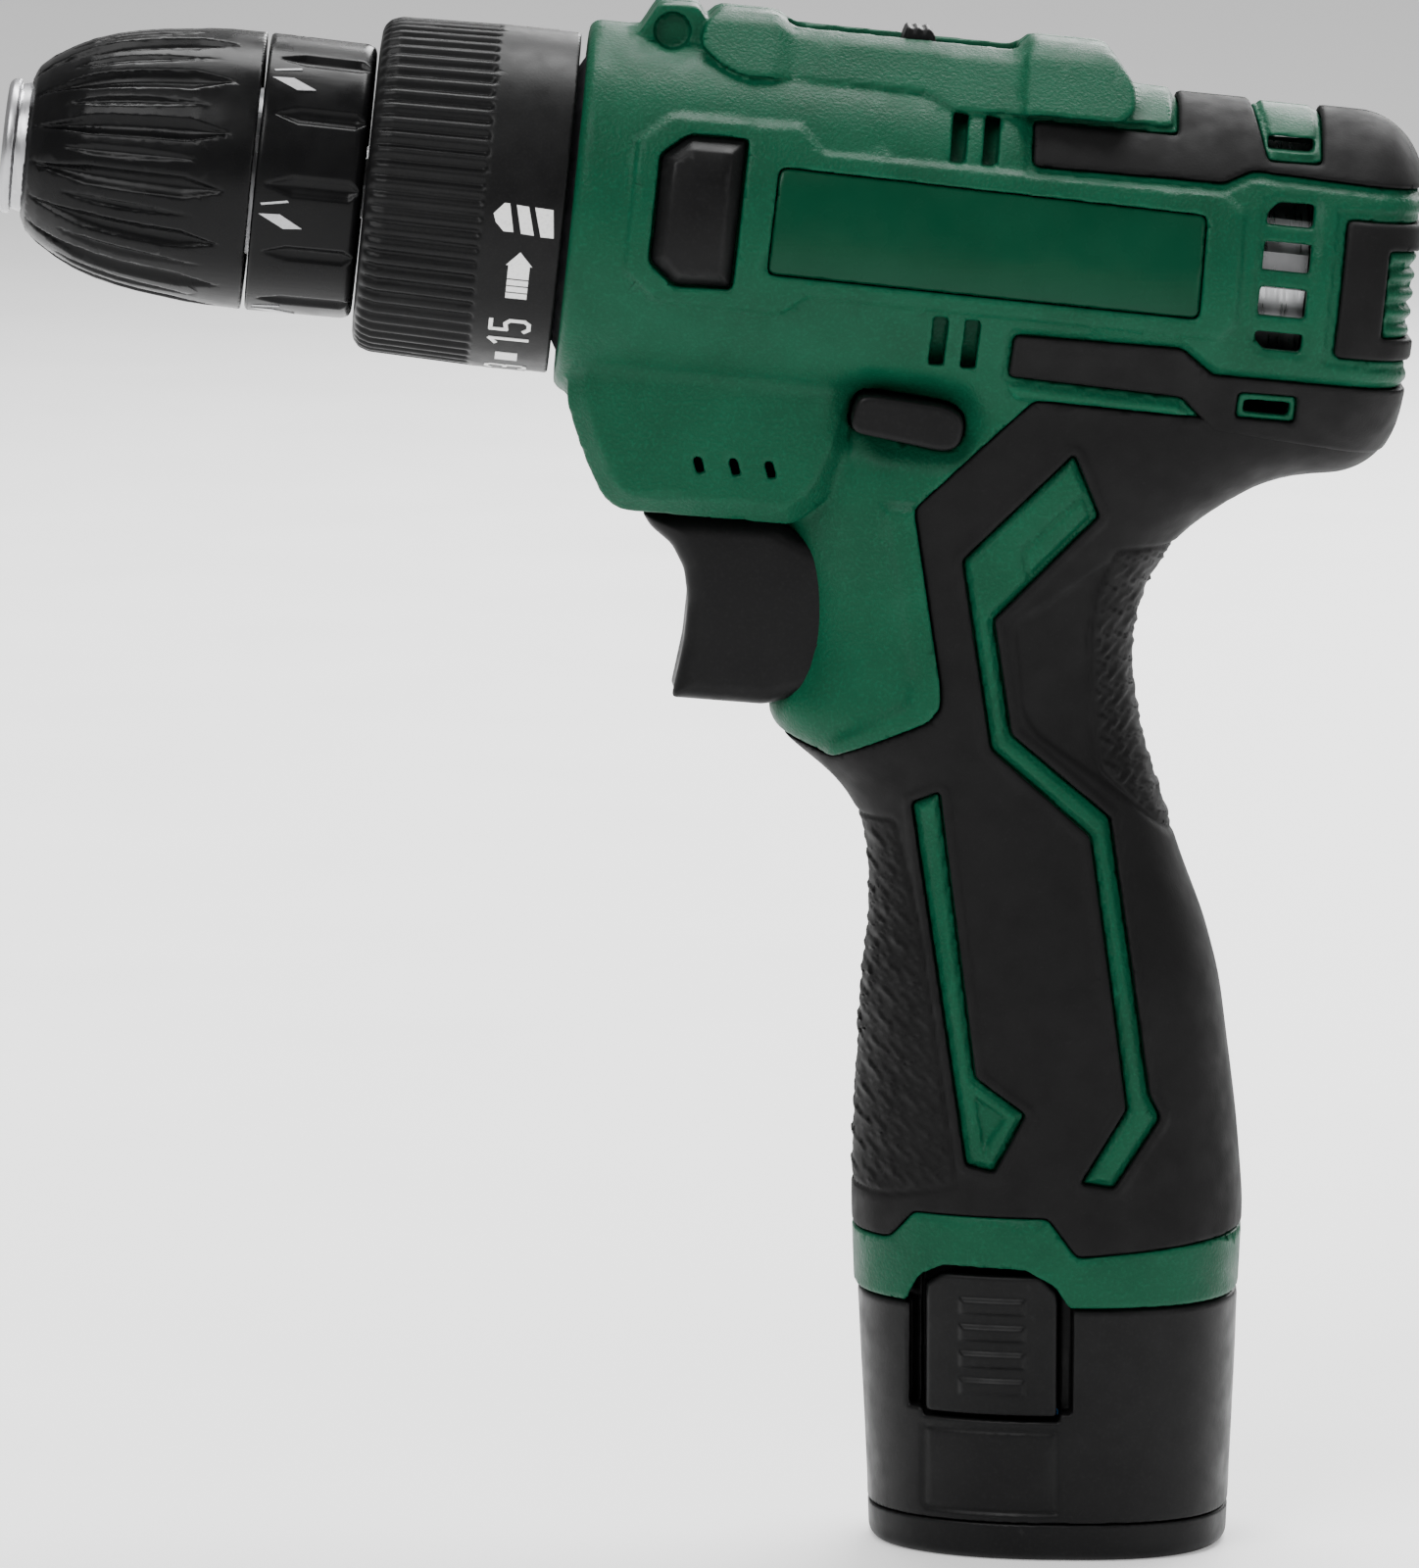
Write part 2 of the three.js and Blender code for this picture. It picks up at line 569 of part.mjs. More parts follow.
// ---------------------------------------------------------------- battery latches
// Each latch stands in the pack's side wall and reaches up into a notch of the housing's ring.
const LATCH = { x: -7.6, z: [19.6, 38.4], width: 14.6, inner: 18.5, lean: THREE.MathUtils.degToRad(8) };
const LATCH_WELL = 16.6;

// A block across the side wall, turned to follow it where the plan narrows to the front.
function latchBlock(side, inner, margin) {
  const [z0, z1] = LATCH.z;
  const half = LATCH.width / 2 + margin;
  return closed(block([-half, half], [inner, 30], [z0 - margin, z1 + margin])
    .rotateZ(LATCH.lean).translate(LATCH.x, 0, 0).scale(1, side, 1));
}

// ---------------------------------------------------------------- housing halves
const TRIGGER_POCKET = [
  [-56, 110.4], [-24, 108.4], [-22.6, 115], [-22.6, 136.4], [-33.5, 137.6], [-56, 140],
];
const VENT_X = [[48.9, 50.9], [53.1, 55.1]];
const VENT_Z = [[12.2, 18.2], [-14.4, -7.8]];
const REAR_WINDOW = [[91, -6.6], [97, -7.6], [97, 11.4], [91, 10.4]];
const WINDOW_BARS_Z = [-4.3, 1.6, 7.4];
const LENS_OUTLINE = [[3.6, -26.8], [6.2, -33], [9.4, -33], [9.4, -26.8]];
const REVERSE_BAR = [[40.2, -25.2], [54.6, -25.6], [54.9, -19.6], [40.4, -19.2]];

function ventCutters() {
  const slots = [];
  for (const [x0, x1] of VENT_X) {
    for (const [z0, z1] of VENT_Z) slots.push(block([x0, x1], [-40, 40], [z0, z1]));
  }
  const bars = WINDOW_BARS_Z.map((z) => block([90, 99], [-40, 40], [z - 1.1, z + 1.1]));
  const window = cut(slab(REAR_WINDOW, -40, 40), ...bars);
  return [...slots, window].map(inDrill);
}

function screwPlace({ x, z, head: onHead }) {
  if (!onHead) return [x, z];
  const acrossTool = new THREE.Vector3(0, 1, 0);
  const place = new THREE.Vector3(x, 0, z).applyAxisAngle(acrossTool, HEAD_TILT).add(HEAD_ORIGIN);
  return [place.x, place.z];
}

function housingBody() {
  const outer = envelope();
  const posts = SCREWS.map((screw) => {
    const [x, z] = screwPlace(screw);
    const reach = screw.seat > 6 ? 15.5 : 7;
    return crossBar(x, z, -reach, reach, 3.6, 12);
  });
  const shell = joined(cut(outer, hollow()), ...posts);
  const pockets = Object.values(barrelSkins).map(({ region, depth, lift }) =>
    inDrill(pocket(barrel(-0.5), barrel(depth + GAP), region, lift - GAP)));
  const gripPocket = pocket(handle(-6), handle(RUBBER + GAP), GRIP, 0);
  const belowBarrel = cut(gripPocket, inDrill(barrel(0.4)));
  return cut(
    shell,
    ...pockets,
    belowBarrel,
    slab(TRIGGER_POCKET, -9.6, 9.6, 1),
    inDrill(slab(grown(REVERSE_BAR, GAP), -40, 40, 1.5)),
    inDrill(block([40.6, 52.2], [-4.9, 4.9], [18, 40])),
    inDrill(slab(grown(LENS_OUTLINE, GAP), -4.3, 4.3)),
    ...ventCutters(),
    ...Object.values(SIDES).map((side) => latchBlock(side, LATCH_WELL, GAP)),
    ...SCREWS.flatMap((screw) => {
      const [x, z] = screwPlace(screw);
      const holeEnd = screw.seat - screw.length - 1;
      const shankHole = crossBar(x, z, holeEnd, screw.seat + 1, 1.8, 8);
      const headHole = crossBar(x, z, screw.seat - GAP, 40, 3.2, 12);
      return [shankHole, headHole];
    }),
  );
}

const body = housingBody();
const HALF_SPACE = { left: [-60, -GAP / 2], right: [GAP / 2, 60] };
for (const side of Object.keys(SIDES)) {
  const half = common(body, block([-90, 70], HALF_SPACE[side], [30, 220]));
  add(drill, `housing_${side}`, mainPiece(half), GREEN);
  for (const [name, { region, depth, lift, look }] of Object.entries(barrelSkins)) {
    add(head, `${name}_${side}`, skin(barrel(), barrel(depth), region, SIDES[side], lift), look);
  }
  const grip = skin(handle(), handle(RUBBER), GRIP, SIDES[side], GAP / 2);
  const clear = [inDrill(barrel(-GAP)), slab(TRIGGER_POCKET, -9.6, 9.6, 1)];
  add(drill, `grip_rubber_${side}`, mainPiece(cut(grip, ...clear)), RUBBER_BLACK);
}

SCREWS.forEach((screw, i) => {
  const [x, z] = screwPlace(screw);
  const profile = [[0, 0], [0, 1.5], [screw.length, 1.5], [screw.length, 2.9], [screw.length + 2, 2.9]];
  const points = [...profile, [screw.length + 2, 0]].map(([y, r]) => new THREE.Vector2(r, y));
  const turnedScrew = closed(new THREE.LatheGeometry(points, 10));
  const mesh = add(drill, `housing_screw_${i + 1}`, turnedScrew, DARK_STEEL);
  mesh.position.set(x, screw.seat - screw.length, z);
});

// ---------------------------------------------------------------- trigger, switch and light
const TRIGGER = [
  [-50.2, 114], [-36.6, 112.6], [-34.6, 115], [-27.6, 118], [-27.6, 132], [-34.2, 133.4], [-36, 136.4],
  [-54.2, 138.4], [-51.2, 134.6], [-48.4, 129.6], [-47.6, 125.4], [-48.6, 120],
];
add(drill, 'trigger', slab(TRIGGER, -8.9, 8.9, 0.9, 2), BLACK);
const triggerSpring = wire(new Helix(-26, -20.4, 2.4, 3), 0.5, 27, 5).translate(0, 0, 120);
add(drill, 'trigger_spring', triggerSpring, SPRING_STEEL);
add(drill, 'switch_body', cut(
  block([-20, 4.5], [-9, 9], [112, 141]),
  block([-21, -14], [-4, 4], [116, 124]),
), GREY_PLASTIC);
add(drill, 'reverse_lever', joined(
  block([-20.4, -17.4], [-1.2, 1.2], [141.3, 149.6]),
  new THREE.CylinderGeometry(2.2, 2.2, 1.4, 16).rotateX(Math.PI / 2).translate(-9, 0, 142),
  block([-19, -9], [-1.6, 1.6], [141.3, 142.7]),
), BLACK);
const reverseBar = slab(REVERSE_BAR, -19.2, 19.2, 1.5);
add(head, 'reverse_bar', cut(reverseBar, block([45, 51], [-3.6, 3.6], [-26.5, -22])), BLACK);
add(head, 'light_lens', slab(LENS_OUTLINE, -4, 4), CLEAR);

// ---------------------------------------------------------------- leads and contacts
const LEAD_PATH = [[-1, 3.4, 86.6], [-2, 4.4, 94], [2, 4, 104], [0, 3.4, 111.4]];
for (const [name, side, look] of [['battery_lead_red', 1, RED], ['battery_lead_black', -1, BLACK]]) {
  const points = LEAD_PATH.map(([x, y, z]) => [x, side * y, z]);
  add(drill, name, wire(points, 1.1, 12), look);
}
add(drill, 'contact_block', joined(
  block([-12, 10], [-9, 9], [80, 86]),
  ...[-6, 0, 6].map((y) => block([-4, 4], [y - 0.4, y + 0.4], [73, 81])),
), GREY_PLASTIC);

// ---------------------------------------------------------------- battery
// Plan stations of the pack: z, front x, rear x, half width.
const PACK = [
  [BASE_TOP + GAP, -23.2, 23.8, 20.6], [18, -23.8, 24.4, 21], [30, -24.5, 25, 21.4],
  [CASE_TOP, -25, 25.2, 21.6],
];
const STEM = [[CASE_TOP - 2, -20.5, 19.4, 19.4], [STEM_TOP, -20.5, 19.4, 19.4]];
const PLAN = { along: 'z', power: 2.4, skew: 0.12 };

function batteryCase() {
  const outer = joined(loft(PACK, PLAN), loft(STEM, HANDLE_PLAN));
  const wells = CELLS.map(([x, y]) =>
    new THREE.CylinderGeometry(CELL_R + 0.1, CELL_R + 0.1, 80, 20).rotateX(Math.PI / 2).translate(x, y, 31));
  const slots = [-6, 0, 6].map((y) => block([-6, 6], [y - 1, y + 1], [70, 80]));
  const latchWells = Object.values(SIDES).map((side) => latchBlock(side, LATCH_WELL, GAP));
  return cut(outer, ...wells, ...slots, ...latchWells);
}
add(drill, 'battery_case', batteryCase(), BLACK);
add(drill, 'battery_base', loft([
  [0, -22, 22.7, 19.6], [1.2, -22.9, 23.5, 20.3], [BASE_TOP, -23.2, 23.8, 20.6],
], PLAN), BLACK);
const tallPack = [...PACK.slice(0, -1), [LATCH.z[1] + 1, ...PACK.at(-1).slice(1)]];
for (const side of Object.keys(SIDES)) {
  const trimmed = common(latchBlock(SIDES[side], LATCH.inner, 0), loft(tallPack, PLAN));
  add(drill, `battery_latch_${side}`, trimmed, BLACK);
}
CELLS.forEach(([x, y], i) => {
  const cell = new THREE.CylinderGeometry(CELL_R - 0.2, CELL_R - 0.2, CELL_LENGTH - 1, 18);
  cell.rotateX(Math.PI / 2).translate(x, y, BASE_TOP + 0.5 + CELL_LENGTH / 2);
  add(drill, `cell_${i + 1}`, cell, CELL_WRAP);
});

export default drill;
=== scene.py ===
"""Looks of a compact cordless drill driver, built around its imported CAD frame.

Shapes are signed distance fields on regular grids, in millimetres, turned into meshes in metres.
x runs rearwards, y across the tool and z up. Head coordinates are tilted with the spindle and
start at the torque collar's rear face; row coordinates are the frame's own.
"""

import json
import math

import bpy
import numpy as np
import openvdb as vdb
from mathutils import Matrix, Vector


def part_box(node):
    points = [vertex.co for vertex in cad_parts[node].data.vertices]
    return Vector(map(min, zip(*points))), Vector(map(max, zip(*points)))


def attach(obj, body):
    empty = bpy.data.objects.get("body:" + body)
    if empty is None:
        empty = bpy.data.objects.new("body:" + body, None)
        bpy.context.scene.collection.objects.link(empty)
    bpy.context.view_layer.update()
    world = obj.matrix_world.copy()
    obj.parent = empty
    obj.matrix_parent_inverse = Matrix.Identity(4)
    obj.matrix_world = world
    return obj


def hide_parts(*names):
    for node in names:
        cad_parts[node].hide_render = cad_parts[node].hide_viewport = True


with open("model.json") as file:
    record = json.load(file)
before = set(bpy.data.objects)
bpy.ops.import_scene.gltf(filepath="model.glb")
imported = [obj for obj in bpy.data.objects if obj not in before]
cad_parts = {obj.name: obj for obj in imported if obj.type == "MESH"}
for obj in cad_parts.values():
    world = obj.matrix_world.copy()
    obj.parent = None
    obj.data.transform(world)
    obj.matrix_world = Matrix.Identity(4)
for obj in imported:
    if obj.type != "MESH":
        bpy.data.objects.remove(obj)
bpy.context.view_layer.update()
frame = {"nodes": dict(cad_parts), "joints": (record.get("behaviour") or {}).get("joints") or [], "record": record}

# ---------------------------------------------------------------- places taken from the frame
MM = 0.001
RECORD = frame["record"]
JOINTS = {joint["name"]: joint for joint in frame["joints"]}
SPINDLE = JOINTS["chuck_spin"]
HEAD = [value / MM for value in SPINDLE["pos_m"]]
TILT = math.asin(-SPINDLE["axis"][2])
HEAD_TO_ROW = Matrix.Translation(Vector(SPINDLE["pos_m"])) @ Matrix.Rotation(TILT, 4, "Y")
SEAM_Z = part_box("housing_left")[0].z / MM
BASE_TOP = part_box("battery_base")[1].z / MM
CASE_TOP = SEAM_Z - 0.3
LATCH_Z = [corner.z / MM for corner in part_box("battery_latch_left")]
STEM_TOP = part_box("battery_case")[1].z / MM

# ---------------------------------------------------------------- driving dimensions
PITCH = 0.42
FINE_PITCH = 0.3
DETAIL = 1.0
WALL = 2.7
SKIN = 1.2
GRIP_SKIN = 1.6
FIT = 0.12
HANDLE_WALL = 2.9
FRONT_X = 0.6
REAR_X = 111.8
GEAR_CASE_R = 20.8
TRIGGER_HALF = 8.9
HOUSING_HALF = 15.2
# A start is the distance from the centre plane at which a piece or an opening begins.
SIDE_PIECE_START = 14
OPENING_START = 6
EAR_HOLE_START = 6.4
GRIP_TOP = 17.9
RING_NOTCH_DEPTH = 5

# Barrel stations: x, underside z, top z, half width. Handle stations: z, front x, rear x, half width.
BARREL = [
    (0, -24.6, 24.5, 24.5), (16, -24.4, 24.5, 24.5), (60, -24.4, 23.6, 24.2),
    (74, -24.4, 22.9, 23.6), (100, -24.9, 23.0, 23.4), (115, -24.9, 22.9, 23.2),
]
HANDLE = [
    (30, -25.4, 25.4, 22.7), (34.4, -25.6, 25.6, 22.8), (46, -26, 26.2, 23), (58, -25.7, 25.2, 22.8),
    (76, -24.6, 22.9, 22.6), (84, -23.7, 20.8, 20.6), (92, -23.8, 17.7, 18.6), (98, -25, 15.8, 17.6),
    (103, -28.4, 14.2, 17), (107, -33.8, 12.9, 16.9), (110, -37.2, 12.2, 16.8),
    (112.6, -37.9, 11.8, 16.8), (116, -35, 11.2, 16.8), (122, -33.2, 11, 16.8),
    (130, -33.4, 13.5, 17), (136, -35.2, 18.1, 17.4),
    (142, -37, 28, 18), (147, -36, 40, 18.6), (156, -30, 44, 18),
]
PACK = [
    (0, -23.5, 24.1, 20.6), (5, -23.7, 24.4, 20.8), (18, -24.3, 25, 21.2),
    (30, -25, 25.5, 21.6), (42, -25.3, 25.6, 21.8),
]
PLAN_POWER = 2.45
PLAN_SKEW = 0.12
BARREL_POWER = 2.1

# ---------------------------------------------------------------- side-view outlines, head coordinates
TRIGGER_HOUSING = [
    (2.2, -18), (2.6, -25), (5.4, -31.5), (8.6, -37), (11, -38.4), (34, -38), (38, -34), (46, -10),
    (4, -10),
]
EAR = [(5.2, 18), (6.3, 22.5), (9.3, 28), (14.4, 28.2), (16.2, 26), (17, 18)]
RAIL = [
    (15.2, 23.4), (15.5, 25.8), (17.2, 28.1), (24.6, 28.3), (27.6, 26.8), (56, 26.8), (58.8, 28.1),
    (68.2, 28.1), (71.8, 24), (72.2, 21.2), (70.2, 19.4), (49, 18.7), (44.6, 20.5), (21, 20.3),
    (18, 21.4),
]
EMBOSS = [
    (8.2, -6), (12.7, -9.6), (29, -9.6), (32.2, -6.9), (86.3, -7.1), (88.2, -4.5), (87.8, 9.6),
    (85, 11.8), (32.4, 11.8), (29.2, 14.9), (12.3, 14.6), (8.2, 11),
]
PAD = [(11.2, -4.4), (14.7, -7.3), (22.3, -6.9), (22.5, 12.5), (14.8, 12.4), (11.3, 9.6)]
PLATE = [(26.7, -4.5), (83.2, -4.6), (82.9, 8.8), (26.9, 9.4)]
UPPER_BUMPER = [
    (59.8, 12.8), (84.8, 13.1), (88.4, 15), (120, 14.1), (120, 40), (97, 40), (97.6, 16.4),
    (90.4, 16.2), (87.8, 24), (87.6, 40), (78.4, 40), (78.6, 18.2), (59.6, 18.2),
]
LOWER_BUMPER = [
    (59.7, -9.3), (81.6, -8.9), (86, -12), (120, -11.6), (120, -21.4), (107, -21), (87, -19.4),
    (82.4, -15.3), (59.6, -14.9),
]
REAR_PAD = [(101.4, 10), (120, 10), (120, -7.8), (101.4, -7.8)]
REAR_INSERT = [(107.2, 6.6), (120, 6.4), (120, -4.9), (107.2, -4.9)]
REAR_FRAME = [(100, 11.3), (120, 11.6), (120, -9.6), (100, -9)]
RAISED_BAR = [(59.5, -16.3), (82, -16.6), (82.6, -17.7), (60.9, -17.9)]
UPPER_LIP = [(57.9, 19.2), (77.8, 19.2), (77.8, 30), (57.9, 30)]
LOWER_SLOT_FRAME = [(89.6, -13.8), (97.4, -13.6), (97.6, -17.4), (89.6, -17.4)]
LOWER_SLOT = [(90.6, -14.8), (96.6, -14.6), (96.6, -16.5), (90.6, -16.5)]
UPPER_SLOT = [(90.4, 19.4), (96.4, 19.5), (96.4, 17.8), (90.4, 17.7)]
REAR_WINDOW = [(90.8, 9.9), (92.2, 11.4), (96.9, 11.5), (97, -7.7), (92, -7.7), (90.8, -6.4)]
WINDOW_BARS = (-4.3, 1.6, 7.4)
WINDOW_BAR_HALF = 1.05
VENTS = [(48.9, 50.9), (53.1, 55.1)]
VENT_HEIGHTS = [(12.1, 18.3), (-14.4, -7.8)]
VENT_DEPTH = 3.1
MOTOR_RIB = (47, 57, 3.8)
PIN_SLOTS = [(19.7, -30.2), (24.4, -30.0), (29.1, -29.9)]
REVERSE_BAR = [
    (39.6, -24.4), (40.2, -20), (41.6, -19.3), (52.4, -19.8), (54.6, -21.2), (54.4, -24.6),
    (52.6, -25.8),
]
EAR_HOLE = (11.4, 24.6, 2.4)
LENS = [(3.6, -26.8), (6.2, -33), (9.4, -33), (9.4, -26.8)]
LENS_HALF = 4
KNOB_X = 43.8
KNOB_SLOT = (40.6, 52.2)
KNOB_SLOT_HALF = 4.9

# ---------------------------------------------------------------- side-view outlines, row coordinates
GRIP = [
    (-40, 110.6), (-28.9, 106.2), (-16.4, 111.4), (-14.7, 113.4), (-14.7, 116.2), (-18.2, 139.6),
    (-1.4, 155.1), (20.8, 153.1), (23, 150.9), (44.2, 149), (60, 147), (60, 42.6), (24.8, 43),
    (3.2, 41.2), (-0.6, 46.4), (-18.1, 46.5), (-21.2, 42.6), (-40, 42),
]
GUARD_BAND = [
    (-22.4, 140), (-21, 132.5), (-18.3, 116.8), (-19.1, 113.9), (-29.2, 108.3), (-31, 104),
    (-10, 104), (-10, 116), (-14, 140),
]
STRIP_A = [
    (2.6, 147.1), (6, 138.8), (-7.8, 125.1), (-5.5, 109.9), (7.6, 98.8), (12.6, 62.9), (14.2, 59.6),
    (8, 50.4), (3.7, 51.1), (9.7, 60.9), (5, 96.5), (-8.1, 108), (-11.9, 133),
]
STRIP_A_PANEL = [(3.7, 141.7), (4.8, 138.9), (-3.3, 130.8), (-4, 134.4)]
STRIP_B = [(-18.4, 100.6), (-14.8, 102.2), (-10.2, 64.9), (-3.6, 60.2), (-7.7, 52.4), (-11.4, 53.2)]
STRIP_B_HOLE = [(-10.2, 62.4), (-6.2, 59.7), (-9.1, 55.4)]
THUMB_RECESS = [
    (-4.9, 124.5), (-3.9, 113), (-2.4, 110.2), (10.3, 100.6), (6.2, 105), (5.1, 112), (4.9, 122.6),
    (5.6, 128.3), (7.6, 132.6),
]
REAR_TEXTURE = [
    (40, 134), (8.4, 134), (5.7, 128.3), (4.9, 122.6), (5.4, 111.1), (6.3, 105), (10.4, 100.8),
    (16.4, 95.4), (40, 90),
]
FRONT_TEXTURE = [
    (-40, 98), (-20.6, 98), (-17.4, 84.5), (-12.6, 50.3), (-22.6, 48.2), (-40, 49.5),
]
RING_NOTCH = [
    (-19.2, 28), (-18.9, 35), (-17.4, 38), (-14.4, 39.7), (-3.8, 39.5), (0.3, 37.4), (2.5, 34),
    (2.8, 28),
]
TRIGGER_POCKET = [
    (-56, 111.2), (-38, 111.6), (-34.2, 115), (-32.6, 120), (-32.3, 127), (-33.6, 133.2),
    (-36.4, 137), (-56, 140),
]
TRIGGER = [
    (-50.2, 113.6), (-37.8, 112.6), (-27.6, 115), (-27.6, 133), (-34.2, 136.2), (-36.2, 137.4),
    (-54.2, 138.6), (-52.9, 136.4), (-50.1, 134), (-48.5, 130.8), (-48, 126.6), (-48.6, 121),
]
LATCH_X = (-16.4, 0.7)
LATCH_SLOT_WIDTH = 2.1


# ---------------------------------------------------------------- fields
class Grid:
    """Sample points of a box in millimetres. Side-view coordinates are x, z (row) and hx, hz (head)."""

    def __init__(self, x, y, z, pitch, tilted=False):
        self.pitch = pitch * DETAIL
        lines = [np.arange(lo, hi + self.pitch, self.pitch) for lo, hi in (x, y, z)]
        self.start = np.array([line[0] for line in lines])
        self.tilted = tilted
        u, w = np.meshgrid(lines[0], lines[2], indexing="ij")
        u, w = u[:, None, :], w[:, None, :]
        cos, sin = math.cos(TILT), math.sin(TILT)
        if tilted:
            self.hx, self.hz = u, w
            self.x = HEAD[0] + u * cos + w * sin
            self.z = HEAD[2] - u * sin + w * cos
        else:
            self.x, self.z = u, w
            self.hx = (u - HEAD[0]) * cos - (w - HEAD[2]) * sin
            self.hz = (u - HEAD[0]) * sin + (w - HEAD[2]) * cos
        self.y = lines[1].astype(np.float32)[None, :, None]
        self.side = np.abs(self.y)


def single(array):
    """The array in single precision, which halves the memory of a large grid."""
    return np.asarray(array, dtype=np.float32)


def rounded(points, r, steps=4):
    """An outline with its corners rounded off to about radius r."""
    points = np.array(points, float)
    if r <= 0:
        return points
    out = []
    for before, corner, after in zip(np.roll(points, 1, 0), points, np.roll(points, -1, 0)):
        ends = []
        for other in (before, after):
            length = np.linalg.norm(other - corner)
            ends.append(corner + (other - corner) * min(r, 0.45 * length) / length)
        for t in np.linspace(0, 1, steps + 1):
            out.append((1 - t) ** 2 * ends[0] + 2 * t * (1 - t) * corner + t * t * ends[1])
    return np.array(out)


def region(points, u, w, r=0.0):
    """Signed distance from a side-view outline, negative inside."""
    outline = rounded(points, r)
    u, w = u[:, 0, :], w[:, 0, :]
    nearest = np.full(u.shape, 1e9)
    inside = np.zeros(u.shape, bool)
    for (ax, az), (bx, bz) in zip(outline, np.roll(outline, -1, 0)):
        ex, ez = bx - ax, bz - az
        px, pz = u - ax, w - az
        t = np.clip((px * ex + pz * ez) / (ex * ex + ez * ez + 1e-12), 0, 1)
        nearest = np.minimum(nearest, (px - t * ex) ** 2 + (pz - t * ez) ** 2)
        crosses = (az > w) != (bz > w)
        inside ^= crosses & (px < ex * pz / (ez if abs(ez) > 1e-9 else 1e-9))
    distance = np.sqrt(nearest)
    return single(np.where(inside, -distance, distance))[:, None, :]


def box_region(u, w, x, z):
    """Signed distance from an upright rectangle in a side view."""
    dx = np.abs(u - sum(x) / 2) - (x[1] - x[0]) / 2
    dz = np.abs(w - sum(z) / 2) - (z[1] - z[0]) / 2
    return single(np.minimum(np.maximum(dx, dz), 0) + np.hypot(np.maximum(dx, 0), np.maximum(dz, 0)))


def stations_at(stations, along, soften):
    """Station values, softened along the sweep, as arrays over the grid."""
    table = np.array(stations, float)
    line = np.arange(table[0, 0] - 12, table[-1, 0] + 12, 0.25)
    reach = np.arange(-3 * soften, 3 * soften + 0.25, 0.25)
    weight = np.exp(-0.5 * (reach / soften) ** 2)
    weight /= weight.sum()
    out = []
    for column in table.T[1:]:
        values = np.interp(line, table[:, 0], column)
        padded = np.pad(values, len(reach) // 2, mode="edge")
        soft = np.convolve(padded, weight, mode="valid")[: len(line)]
        out.append(np.interp(along, line, soft))
    return out


def distance(field, pitch):
    """Rescales a field so that near its zero surface it reads distance."""
    slopes = np.gradient(field, pitch)
    slope = np.sqrt(slopes[0] ** 2 + slopes[1] ** 2 + slopes[2] ** 2)
    return field / np.maximum(slope, 0.02)


def loft(grid, along, across, stations, power, skew=0.0, soften=2.0):
    """Distance from a rounded-box section swept along one axis, the high end wider by skew."""
    low, high, half = stations_at(stations, along, soften)
    offset = (across - (low + high) / 2) / ((high - low) / 2)
    size = np.abs(offset)
    side = half * (1 + skew * np.sign(offset) * np.minimum(size, 1) ** (power / 2))
    total = single(size**power) + single(side**-power) * grid.side**power
    return distance(total ** np.float32(1 / power) - 1, grid.pitch)


def both(a, b, r=0.4):
    """The common part of two fields, its edge rounded to radius r."""
    corner = np.hypot(np.maximum(a + r, 0), np.maximum(b + r, 0))
    return np.minimum(np.maximum(a, b), -r) + corner


def chamfered(a, b, size):
    """The common part of two fields, its edge cut off at 45 degrees."""
    return np.maximum(np.maximum(a, b), (a + b + size) * 0.7071)


def merged(a, b, r):
    """The union of two fields with a fillet of about r."""
    h = np.clip(0.5 + 0.5 * (b - a) / r, 0, 1)
    return b + (a - b) * h - r * h * (1 - h)


def cut(a, b, r=0.25):
    """The first field with the second taken out of it."""
    return both(a, -b, r)


def step(field, width):
    """1 well inside a region, 0 outside, with a smooth edge of the given width."""
    t = np.clip(0.5 - field / width, 0, 1)
    return t * t * (3 - 2 * t)


def revolved(grid, profile, r=0.0):
    """Distance from a closed x-radius profile turned about the spindle's axis."""
    radii = np.arange(0, 30, grid.pitch / 2)
    u, w = np.meshgrid(grid.hx[:, 0, 0], radii, indexing="ij")
    table = region(profile, u[:, None, :], w[:, None, :], r)[:, 0, :]
    radius = np.hypot(grid.y[0, :, 0][:, None], grid.hz[0, 0, :][None, :])
    place = np.minimum(radius / (grid.pitch / 2), len(radii) - 2)
    index = place.astype(int)
    share = single(place - index)
    return table[:, index] * (1 - share) + table[:, index + 1] * share


def turn_about_spindle(grid):
    """Angle about the spindle: 0 at the tool's left side, 90 degrees at the top."""
    return single(np.arctan2(grid.hz, -grid.y))


def scale_ripples(along, across):
    """Height of a wavy fish-scale texture, from 0 to 1."""
    wave = along + 0.9 * np.sin(across * 2 * np.pi / 3.4)
    saw = np.mod(wave / 1.9, 1.0)
    ripple = saw**1.5 * (0.75 + 0.25 * np.sin(across * 2 * np.pi / 3.4 + wave))
    return single(ripple)


# ---------------------------------------------------------------- meshes
def sample(field, places):
    """Trilinear samples of a field at fractional grid places."""
    top = np.array(field.shape) - 2
    base = np.clip(np.floor(places).astype(int), 0, top)
    share = np.clip(places - base, 0, 1)
    out = np.zeros(len(places))
    for corner in range(8):
        pick = [(corner >> axis) & 1 for axis in range(3)]
        weight = np.ones(len(places))
        for axis, up in enumerate(pick):
            weight *= share[:, axis] if up else 1 - share[:, axis]
        i, j, k = (base[:, axis] + pick[axis] for axis in range(3))
        out += weight * field[i, j, k]
    return out


